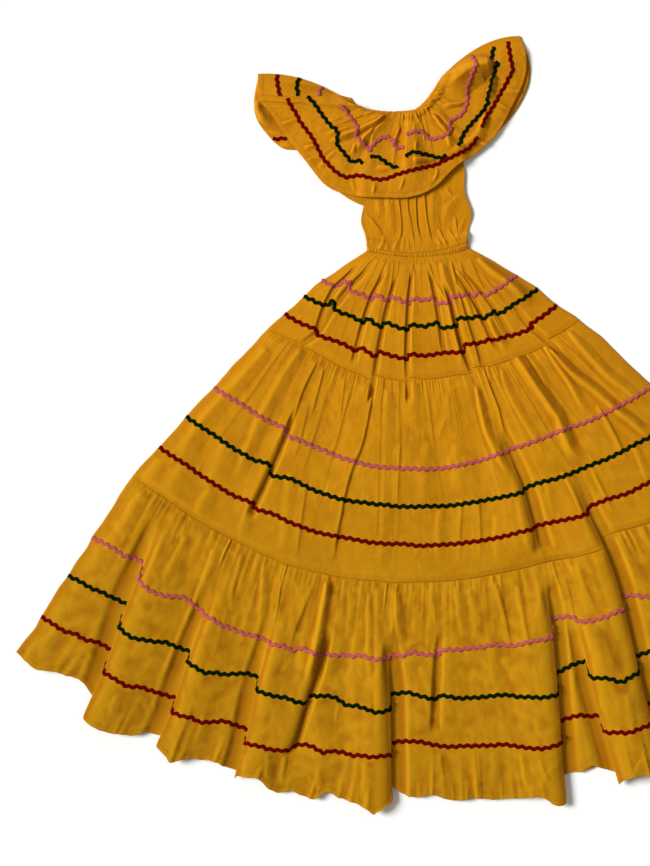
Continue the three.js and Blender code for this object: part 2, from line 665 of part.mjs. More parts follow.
function flounceFront() {
  const depth = (row) => flouncePlace(row, 1).distanceTo(flouncePlace(row, 0));
  const braidShares = BRAID_COLOURS.flatMap((key) => [
    (row) => flounce[key](row) - BRAID_WIDTH / 2 / depth(row),
    (row) => flounce[key](row) + BRAID_WIDTH / 2 / depth(row),
  ]);
  const shares = [(row) => SEAM / depth(row), ...braidShares, () => 1];
  const columns = flounceColumns();
  const grid = shares.map((share) => columns.map(({ row, crest }) => flouncePoint(row, share(row), crest)));
  const wall = clothWall("flounce_front", grid);
  return [wall.mesh, ...threeBraids("flounce", wall, 1)];
}

function flounceBack() {
  const grid = [];
  for (let r = 0; r <= FLOUNCE_BACK_GRID.rows; r += 1) {
    const share = mix(FLOUNCE_BACK_START, 1, r / FLOUNCE_BACK_GRID.rows);
    const line = [];
    for (let c = 0; c <= FLOUNCE_BACK_GRID.columns; c += 1) {
      const row = (LAST_BACK_ROW * c) / FLOUNCE_BACK_GRID.columns;
      const x = mix(flounceHang.neckX(row), flounceHang.hemX(row), share);
      const y = mix(flounceHang.neckY(row), flounceHang.hemY(row), share);
      line.push(new THREE.Vector3(x, y, FLOOR_LAYER));
    }
    grid.push(line);
  }
  return clothWall("flounce_back", grid).mesh;
}

const neckUpper = (t) => ({ x: neckline.x(t * LAST_FLOUNCE_ROW), y: neckline.y(t * LAST_FLOUNCE_ROW) });
const neckLower = (t) => flouncePlace(t * LAST_FLOUNCE_ROW, 0);
const waistUpper = (t) => bodicePlace(t, LAST_BODICE_ROW);
const waistLower = (t) => skirtPlace(t, -SEAM / 2);

// The front and back halves of one elastic casing, lying on each other
function casingPair(name, upper, lower) {
  const frontBottom = CASING_THICKNESS + CLEAR;
  return [
    casing(`${name}_casing_back`, upper, lower, 0, CASING_THICKNESS, 0),
    casing(`${name}_casing_front`, upper, lower, frontBottom, frontBottom + CASING_HEIGHT, CASING_RIPPLES),
  ];
}

const dress = new THREE.Group();
dress.name = "dress";
const pieces = [
  ...casingPair("neck", neckUpper, neckLower),
  flounceBack(),
  ...flounceFront(),
  bodiceBack(),
  bodiceFront(),
  ...casingPair("waist", waistUpper, waistLower),
  ...TIERS.flatMap((tier) => [...tierFront(tier), tierBack(tier)]),
];
for (const piece of pieces) {
  piece.position.set(CENTRE_X, CENTRE_Y, 0);
  dress.add(piece);
}

export default dress;
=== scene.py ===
# An off-shoulder cotton dress, laid flat on its back and seen from straight above.
# The tables give lengths of cloth in millimetres. Every mesh is in metres, in the frame of the solids.

import math

import bpy
import numpy as np
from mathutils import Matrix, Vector


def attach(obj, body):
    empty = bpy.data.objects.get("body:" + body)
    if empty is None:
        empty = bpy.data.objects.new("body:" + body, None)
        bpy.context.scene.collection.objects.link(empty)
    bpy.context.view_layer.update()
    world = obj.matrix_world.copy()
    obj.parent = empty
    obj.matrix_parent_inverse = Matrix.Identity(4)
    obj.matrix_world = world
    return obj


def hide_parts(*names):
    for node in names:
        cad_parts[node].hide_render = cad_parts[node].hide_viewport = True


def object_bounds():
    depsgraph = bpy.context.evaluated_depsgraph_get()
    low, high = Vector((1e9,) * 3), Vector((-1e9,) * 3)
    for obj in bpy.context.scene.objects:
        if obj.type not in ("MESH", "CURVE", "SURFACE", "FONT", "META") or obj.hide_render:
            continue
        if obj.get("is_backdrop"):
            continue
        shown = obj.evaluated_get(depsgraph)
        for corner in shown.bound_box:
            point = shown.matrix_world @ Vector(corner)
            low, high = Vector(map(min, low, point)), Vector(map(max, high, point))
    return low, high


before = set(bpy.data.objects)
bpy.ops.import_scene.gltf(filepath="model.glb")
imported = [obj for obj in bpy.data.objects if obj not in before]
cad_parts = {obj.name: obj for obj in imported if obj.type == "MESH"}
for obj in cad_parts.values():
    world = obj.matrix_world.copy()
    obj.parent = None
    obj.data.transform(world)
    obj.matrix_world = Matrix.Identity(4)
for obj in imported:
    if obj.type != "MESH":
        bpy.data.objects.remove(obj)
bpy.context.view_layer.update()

MM = 0.001
TURN = 2 * math.pi

# The sizes that the dress is cut and laid to
WALL = 1.2
CLEAR = 0.3
CENTRE_X = 0.0
CENTRE_Y = -4.8
SECOND_LAYER = WALL * 1.5 + CLEAR
THIRD_LAYER = WALL * 2.5 + 2 * CLEAR
FOURTH_LAYER = WALL * 3.5 + 3 * CLEAR
CLOTH = 0.6
EDGE_FADE = 60
HEM_WAVE = 6
FOLD_FADE = 60
BACK_INSET = 3
BACK_HEM_RISE = 34
WAIST_PUFF = 3.4
SKIRT_PUFF = 2.2
BRAID_BED = 0.6
SIDE_REACH = 70
SIDE_SWAY = 3
BACK_RELIEF = 0.35
BACK_MOST = 2.2
SLIVER_SHARE = 0.515
SLIVER_HALF = 0.03
SLIVER_REACH = 1.15
HEM_ALLOWANCE = 20
SEAM_STAND = 0.3
CASING_STITCH_SHARES = (0.88,)
CASING_RUFFLE = 0.9
CASING_FRONT_BOTTOM = 3.3
CASING_FRONT_THICKNESS = 3.0
CASING_BACK_THICKNESS = 1.6
CASING_BACK_RIPPLE = 0.4

# How much of their height and shade the creases of each tier keep
PRESSED = {"tier1": 0.5, "tier2": 0.85, "tier3": 0.92}

# The narrower edge of a sheet as built, as a share of its wider one
FLARES = {"tier1": 0.5, "tier2": 0.8, "tier3": 0.8}
FLOUNCE_FLARE = 0.4
BODICE_FLARE = 0.7

# The depths that the flounce and the bodice are cut to
FLOUNCE_FRONT_CUT = 175
FLOUNCE_BACK_CUT = 185
BODICE_CUT = 240

# The studio's floor, lights and camera, in metres
FLOOR_HALF = 4.0
FLOOR_DROP = 0.0005
FLOOR_COLOUR = (0.94, 0.95, 0.97, 1.0)
FLOOR_SHADE = (0.9, 0.9, 0.9, 1.0)
KEY_FROM = (-0.76, 0.16, 0.55)
KEY_STRENGTH = 4.25
KEY_SPREAD = 0.42
FILL_STRENGTH = 0.32
FILL_COLOUR = (1.0, 0.93, 0.8, 1.0)
CAMERA_AT = (-0.2204, -0.0257, 3.885)
CAMERA_LENS = 85
CAMERA_SENSOR = 36

# The skirt's front: for each seam or line of braid, the length of cloth below the waist, the two ends, and
# the row's height on the page at its left end, at eighths of its width and at its right end
EIGHTHS = (0, 1, 2, 4, 6, 7, 8)
SKIRT_ROWS = {
    # name: down, left x, right x, y at 0, 1, 2, 4, 6, 7 and 8 eighths
    "waist": (0, -141, 51, 325, 320, 316, 313, 317, 323, 332),
    "pink1": (83, -226, 144, 268, 256, 239, 230, 238, 249, 279),
    "green1": (131, -262, 182, 238, 217, 194, 181, 198, 217, 253),
    "red1": (187, -296, 220, 205, 167, 141, 125, 154, 175, 222),
    "seam1": (232, -327, 262, 177, 141, 101, 81, 114, 142, 194),
    "pink2": (402, -433, 403, 65, 2, -55, -89, -30, 10, 68),
    "green2": (472, -486, 473, 10, -66, -127, -160, -103, -51, 13),
    "red2": (545, -536, 528, -48, -133, -196, -233, -173, -116, -40),
    "seam2": (615, -585, 581, -103, -198, -268, -302, -236, -173, -91),
    "pink3": (751, -663, 659, -220, -332, -416, -439, -353, -294, -201),
    "green3": (841, -711, 709, -294, -412, -498, -528, -458, -388, -274),
    "red3": (930, -758, 758, -370, -498, -593, -618, -555, -479, -350),
    "hem": (1027, -811, 811, -439, -570, -665, -714, -648, -549, -424),
}

# The skirt's large folds. start, full and end are lengths below the waist: where a fold begins, where it has
# grown to its full size and where it begins to die out, which one that ends past FOLD_TO_HEM doesn't do. Its
# line goes from top_share of the width at its start to hem_share at the hem. half is its half width, lap how
# far it reaches over, as a share of half, lift how far it rises, slip how far its right side is drawn up
# against its left, and upper the side on top, 1 for the right.
FOLD_TO_HEM = 1000
FOLD_COLUMNS = ("start", "full", "end", "top_share", "hem_share", "half", "lap", "lift", "slip", "upper")
MAIN_FOLDS = (
    (620, 820, 1026, 0.06, 0.09, 26, 0.45, 9, -40, 1),
    (640, 900, 1026, 0.159, 0.169, 24, 0.45, 8, -26, 1),
    (660, 880, 1026, 0.25, 0.26, 24, 0.45, 8, -24, 1),
    (690, 830, 1026, 0.424, 0.442, 26, 0.45, 9, 26, -1),
    (617, 760, 1026, 0.668, 0.643, 26, 0.4, 10, 30, -1),
    (700, 880, 1026, 0.692, 0.706, 24, 0.42, 10, -24, 1),
    (440, 660, 1026, 0.766, 0.758, 24, 0.45, 10, 24, -1),
    (640, 900, 1026, 0.848, 0.842, 24, 0.45, 8, 20, 1),
    (620, 820, 1026, 0.945, 0.922, 26, 0.45, 9, 30, -1),
    (300, 500, 550, 0.67, 0.668, 20, 0.34, 7, 3, -1),
)
# Small pleats, pressed flat as the dress was laid out, that make a line of braid jump
SMALL_FOLDS = (
    (20, 90, 150, 0.075, 0.35, 7, 0.3, 0.8, 10, 1),
    (20, 90, 190, 0.15, -0.06, 7, 0.3, 0.8, -11, -1),
    (20, 80, 170, 0.262, 0.3, 6, 0.3, 0.8, 9, 1),
    (25, 90, 235, 0.345, 0.31, 6, 0.3, 0.8, 9, -1),
    (15, 75, 230, 0.455, 0.44, 6, 0.3, 0.8, 8, 1),
    (15, 75, 140, 0.58, 0.6, 6, 0.3, 0.8, -10, -1),
    (30, 120, 215, 0.66, 0.655, 7, 0.36, 2, 12, 1),
    (20, 80, 160, 0.76, 0.76, 6, 0.3, 0.8, -7, -1),
    (20, 80, 150, 0.82, 0.86, 6, 0.3, 0.8, -8, -1),
    (120, 160, 215, 0.9, 0.93, 6, 0.3, 0.8, 7, 1),
    (340, 440, 520, 0.165, 0.18, 8, 0.5, 3, -13, -1),
    (690, 800, 900, 0.336, 0.302, 14, 0.5, 6, 14, -1),
    (700, 760, 860, 0.502, 0.49, 10, 0.25, 0.7, 8, 1),
)
RISE_REACH = 0.75
RISE_TAIL = 3
SLIP_TAIL = 4
LAP_ONSET = 1.3
FOLD_START_WIDTH = 0.45
ROW_SWAY = 2
ROW_SWAY_LOW = 8
LONG_SWAY = (42, 260)
SHORT_SWAY = (19, 150)
CALM_FROM = 0.45
CALM_TO = 0.65
CALM_EDGE = 0.04
CALM_SHARE = 0.65


def mix(a, b, t):
    return a + (b - a) * t


def smooth(x):
    x = np.clip(x, 0, 1)
    return x * x * (3 - 2 * x)


def noise(x, y, seed):
    """Smooth random heights from -1 to 1, over cells one unit wide."""
    table = np.random.default_rng(seed).uniform(-1, 1, (64, 64))
    column, row = np.floor(x).astype(int), np.floor(y).astype(int)
    across, down = smooth(x - column), smooth(y - row)

    def at(right, lower):
        return table[(row + lower) % 64, (column + right) % 64]

    return mix(mix(at(0, 0), at(1, 0), across), mix(at(0, 1), at(1, 1), across), down)


def curve_at(places, values, x):
    """The smooth curve through values at rising places, straight beyond its ends. A value may be an array."""
    steps = np.diff(np.asarray(places, float))
    values = [np.asarray(v, float) for v in values]
    slopes = [(values[i + 1] - values[i]) / h for i, h in enumerate(steps)]
    tangents = [slopes[0]]
    for i in range(1, len(steps)):
        before, after = steps[i - 1], steps[i]
        tangents.append((slopes[i - 1] * after + slopes[i] * before) / (before + after))
    tangents.append(slopes[-1])
    result = values[0] + tangents[0] * (x - places[0])
    for i, h in enumerate(steps):
        t = (x - places[i]) / h
        s = 1 - t
        start = values[i] * (1 + 2 * t) * s * s + values[i + 1] * t * t * (3 - 2 * t)
        piece = start + h * t * s * (tangents[i] * s - tangents[i + 1] * t)
        result = np.where(x > places[i], piece, result)
    beyond = values[-1] + tangents[-1] * (x - places[-1])
    return np.where(x > places[-1], beyond, result)


DOWN = {name: row[0] for name, row in SKIRT_ROWS.items()}


def skirt_column(index, down):
    rows = list(SKIRT_ROWS.values())
    return curve_at([row[0] for row in rows], [row[index] for row in rows], down)


def skirt_width(down):
    return skirt_column(2, down) - skirt_column(1, down)


def skirt_place(share, down):
    """The plain place of a point of the skirt, by its share of the width and its length below the waist."""
    heights = [skirt_column(3 + i, down) for i in range(len(EIGHTHS))]
    left, right = skirt_column(1, down), skirt_column(2, down)
    near_left = 1 - smooth(share * (right - left) / SIDE_REACH)
    near_right = 1 - smooth((1 - share) * (right - left) / SIDE_REACH)
    sway = near_left * noise(down / 31, down * 0, 2) - near_right * noise(down / 31, down * 0, 3)
    x = mix(left, right, share) + SIDE_SWAY * sway * smooth(down / 60)
    return x, curve_at(EIGHTHS, heights, share * 8)


class Fold:
    def __init__(self, row):
        for key, value in zip(FOLD_COLUMNS, row):
            setattr(self, key, value)

    def amount(self, down):
        fading = 1 - smooth((down - self.end) / FOLD_FADE) if self.end < FOLD_TO_HEM else 1
        return smooth((down - self.start) / (self.full - self.start)) * fading

    def share(self, down):
        return mix(self.top_share, self.hem_share, (down - self.start) / (DOWN["hem"] - self.start))

    def half_at(self, down):
        grown = np.clip((down - self.start) / (self.full - self.start), 0, 1)
        return self.half * mix(FOLD_START_WIDTH, 1, grown)


def lap_at(reach, half, fold, amount):
    """How far a fold moves the cloth back over itself, and how far it raises its upper side."""
    side = reach * fold.upper
    shift = -fold.lap * half * amount**LAP_ONSET * np.sin(math.pi * reach) * (np.abs(reach) < 1)
    rising = smooth((side + RISE_REACH) / (2 * RISE_REACH))
    falling = 1 - smooth((side - 1) / RISE_TAIL)
    return shift, fold.lift * (1 - (1 - amount) ** 2) * rising * falling


FOLDS = [Fold(row) for row in MAIN_FOLDS]
PLEATS = [Fold(row) for row in SMALL_FOLDS]


def skirt_edge(share, down):
    width = skirt_width(down)
    return smooth(share * width / EDGE_FADE) * smooth((1 - share) * width / EDGE_FADE)


def calm_at(share):
    """1 in the stretch of the skirt's width where its rows run straighter, and 0 outside it."""
    return smooth((share - CALM_FROM) / CALM_EDGE) * smooth((CALM_TO - share) / CALM_EDGE)


def skirt_point(share, down, wave=0.0):
    """The middle of the skirt's front with its folds, and a mask that is 0 inside a fold and 1 away from it.
    wave is how far the hem hangs down there, in shares of HEM_WAVE."""
    share, down = np.broadcast_arrays(np.asarray(share, float), np.asarray(down, float))
    width = skirt_width(down)
    shift, lift, slip, plain = (np.zeros(share.shape) for _ in range(4))
    plain += 1
    for fold in FOLDS + PLEATS:
        amount = fold.amount(down)
        half = fold.half_at(down)
        reach = (share - fold.share(down)) * width / half
        moved, raised = lap_at(reach, half, fold, amount)
        shift += moved
        lift += raised
        nearby = 1 - smooth((np.abs(reach) - 1) / SLIP_TAIL)
        slip += fold.slip * amount * (smooth(reach + 0.5) - 0.5) * nearby
        side = reach * fold.upper
        clear = np.where(side > 0, smooth((side - 0.45) / 0.5), smooth((-side - 0.9) / 0.5))
        plain *= 1 - smooth(amount * 2) * (1 - clear)
    past_braid = smooth((down - DOWN["red3"]) / (DOWN["hem"] - DOWN["red3"]))
    loose = mix(ROW_SWAY, ROW_SWAY_LOW, smooth((down - DOWN["seam2"]) / 120)) * smooth(down / 60)
    sway = noise(share * width / LONG_SWAY[0], down / LONG_SWAY[1], 21)
    sway = sway + 0.5 * noise(share * width / SHORT_SWAY[0], down / SHORT_SWAY[1], 22)
    sway = sway * (1 - CALM_SHARE * calm_at(share))
    reached = down - slip + loose * sway * skirt_edge(share, down) + wave * HEM_WAVE * past_braid
    x, y = skirt_place(share, reached)
    x2, y2 = skirt_place(share + 0.01, reached)
    length = np.hypot(x2 - x, y2 - y)
    x = x + shift * (x2 - x) / length
    y = y + shift * (y2 - y) / length
    puff = mix(WAIST_PUFF, SKIRT_PUFF, smooth(down / DOWN["seam1"]))
    puff = puff * np.maximum(skirt_edge(share, down), 1 - smooth(down / 4))
    return np.stack([x, y, SECOND_LAYER + puff + lift], -1), plain


def facets(x, y, seed):
    """Random heights from -1 to 1 over cells one unit wide, with straight slopes and sharp creases between
    them."""
    x = x + 0.45 * noise(x / 2.1, y / 2.1, seed + 1)
    y = y + 0.45 * noise(x / 2.3, y / 1.9, seed + 2)
    rng = np.random.default_rng(seed)
    table, leans = rng.uniform(-1, 1, (64, 64)), rng.integers(0, 2, (64, 64))
    column, row = np.floor(x).astype(int), np.floor(y).astype(int)
    across, down = x - column, y - row

    def at(right, lower):
        return table[(row + lower) % 64, (column + right) % 64]

    lean = leans[row % 64, column % 64]
    across = np.where(lean, across, 1 - across)
    first, second = np.where(lean, at(0, 0), at(1, 0)), np.where(lean, at(1, 0), at(0, 0))
    third, fourth = np.where(lean, at(0, 1), at(1, 1)), np.where(lean, at(1, 1), at(0, 1))
    near = first + across * (second - first) + down * (third - first)
    far = fourth + (1 - across) * (third - fourth) + (1 - down) * (second - fourth)
    return np.where(across + down < 1, near, far)


# Creases pressed into the cloth: their spacing across and along it, the turn of their lines in degrees, and
# their height in millimetres
CREASE_SIZES = (
    (46, 150, 4, 3.4),
    (27, 60, -16, 1.7),
    (19, 34, 32, 1.0),
    (12, 20, -38, 0.5),
)
# The lowest tier is crumpled in smaller, squarer facets
CRUMPLE_SIZES = (
    (42, 64, 12, 2.3),
    (25, 32, -26, 2.0),
    (16, 20, 34, 1.6),
    (10, 12, -42, 0.6),
)


def creased(x, y, seed, sizes=CREASE_SIZES):
    """The height of pressed cloth with its creases, from 0 up. x and y are millimetres of cloth."""
    height = np.zeros(x.shape)
    for i, (across, along, turn, top) in enumerate(sizes):
        cosine, sine = math.cos(math.radians(turn)), math.sin(math.radians(turn))
        u, v = (x * cosine - y * sine) / across, (x * sine + y * cosine) / along
        height += top * (1 + facets(u + 7.3 * i, v + 3.1 * i, seed + 10 * i)) / 2
    return height


# Gathers, in a few sizes. size is a share of the panel's width, height is in millimetres, reach is a share of
# the panel's length, and drift how far a gather leans on its way down, as a share of the width. Layered ones
# lie over each other, and the others add up.
GATHERS = {
    # count, size, height, reach, drift, layered
    "tier1": (
        (12, (0.035, 0.075), (0.4, 1.0), (0.7, 1.6), 0.02, True),
        (30, (0.018, 0.04), (0.3, 0.8), (0.3, 1.0), 0.012, True),
        (76, (0.006, 0.014), (0.4, 0.9), (0.15, 0.6), 0.006, True),
    ),
    "tier2": (
        (18, (0.02, 0.05), (0.75, 1.8), (0.5, 1.4), 0.012, True),
        (50, (0.01, 0.026), (0.52, 1.65), (0.12, 0.6), 0.008, True),
        (120, (0.0035, 0.009), (0.3, 0.98), (0.05, 0.25), 0.004, False),
    ),
    "tier3": (
        (26, (0.014, 0.036), (1.0, 2.3), (0.3, 1.0), 0.012, True),
        (76, (0.007, 0.018), (0.75, 2.25), (0.1, 0.45), 0.008, True),
        (170, (0.0028, 0.007), (0.38, 1.12), (0.05, 0.3), 0.003, False),
    ),
}
HEM_FLUTES = (
    (46, (0.008, 0.022), (2.0, 5.0), (0.12, 0.4), 0.008, True),
    (90, (0.003, 0.008), (0.6, 2.0), (0.05, 0.2), 0.004, True),
)
GATHER_STEP = 3.2


def gathers(share, run, length, wide, table, seed):
    """The height of a panel's gathers. Each starts at the seam, where run is 0, and dies out on its way. It
    has a steep side and a long sloping one, because the cloth was pressed flat. wide is the panel's width."""
    rng = np.random.default_rng(seed)
    layered, small = np.zeros(share.shape), np.zeros(share.shape)
    for count, size, height, reach, drift, on_top in table:
        for i in range(count):
            centre = (i + rng.uniform(0.05, 0.95)) / count
            width, top, end = rng.uniform(*size), rng.uniform(*height), rng.uniform(*reach) * length
            lean, bend, side = rng.normal(0, drift), rng.normal(0, drift / 3), rng.choice((-1, -1, 1))
            phase, step = rng.uniform(0, 6), GATHER_STEP * rng.uniform(0.8, 1.6) * (1 if side < 0 else 2.2)
            near = width + 3 * abs(lean) + abs(bend) + 0.01
            columns = np.flatnonzero((share.max(0) > centre - near) & (share.min(0) < centre + near))
            if not len(columns):
                continue
            part = slice(columns[0], columns[-1] + 1)
            t, across = run[:, part] / length, wide[:, part]
            path = centre + lean * t + bend * np.sin(3 * t + phase)
            away = side * (share[:, part] - path) * across
            reached = width * across * mix(0.45, 1, smooth(t * 3))
            slope = np.clip(1 - away / reached, 0, 1) ** 1.15
            body = np.where(away > 0, slope, smooth(1 + away / np.minimum(step, reached)))
            fade = smooth(run[:, part] / (4 + 60 * width)) * (1 - smooth(run[:, part] / end)) ** 0.8
            fade *= 0.75 + 0.25 * np.sin(7 * t + 2 * phase)
            if on_top:
                layered[:, part] = np.maximum(layered[:, part], top * body * fade)
            else:
                small[:, part] += top * body * fade
    return layered + small


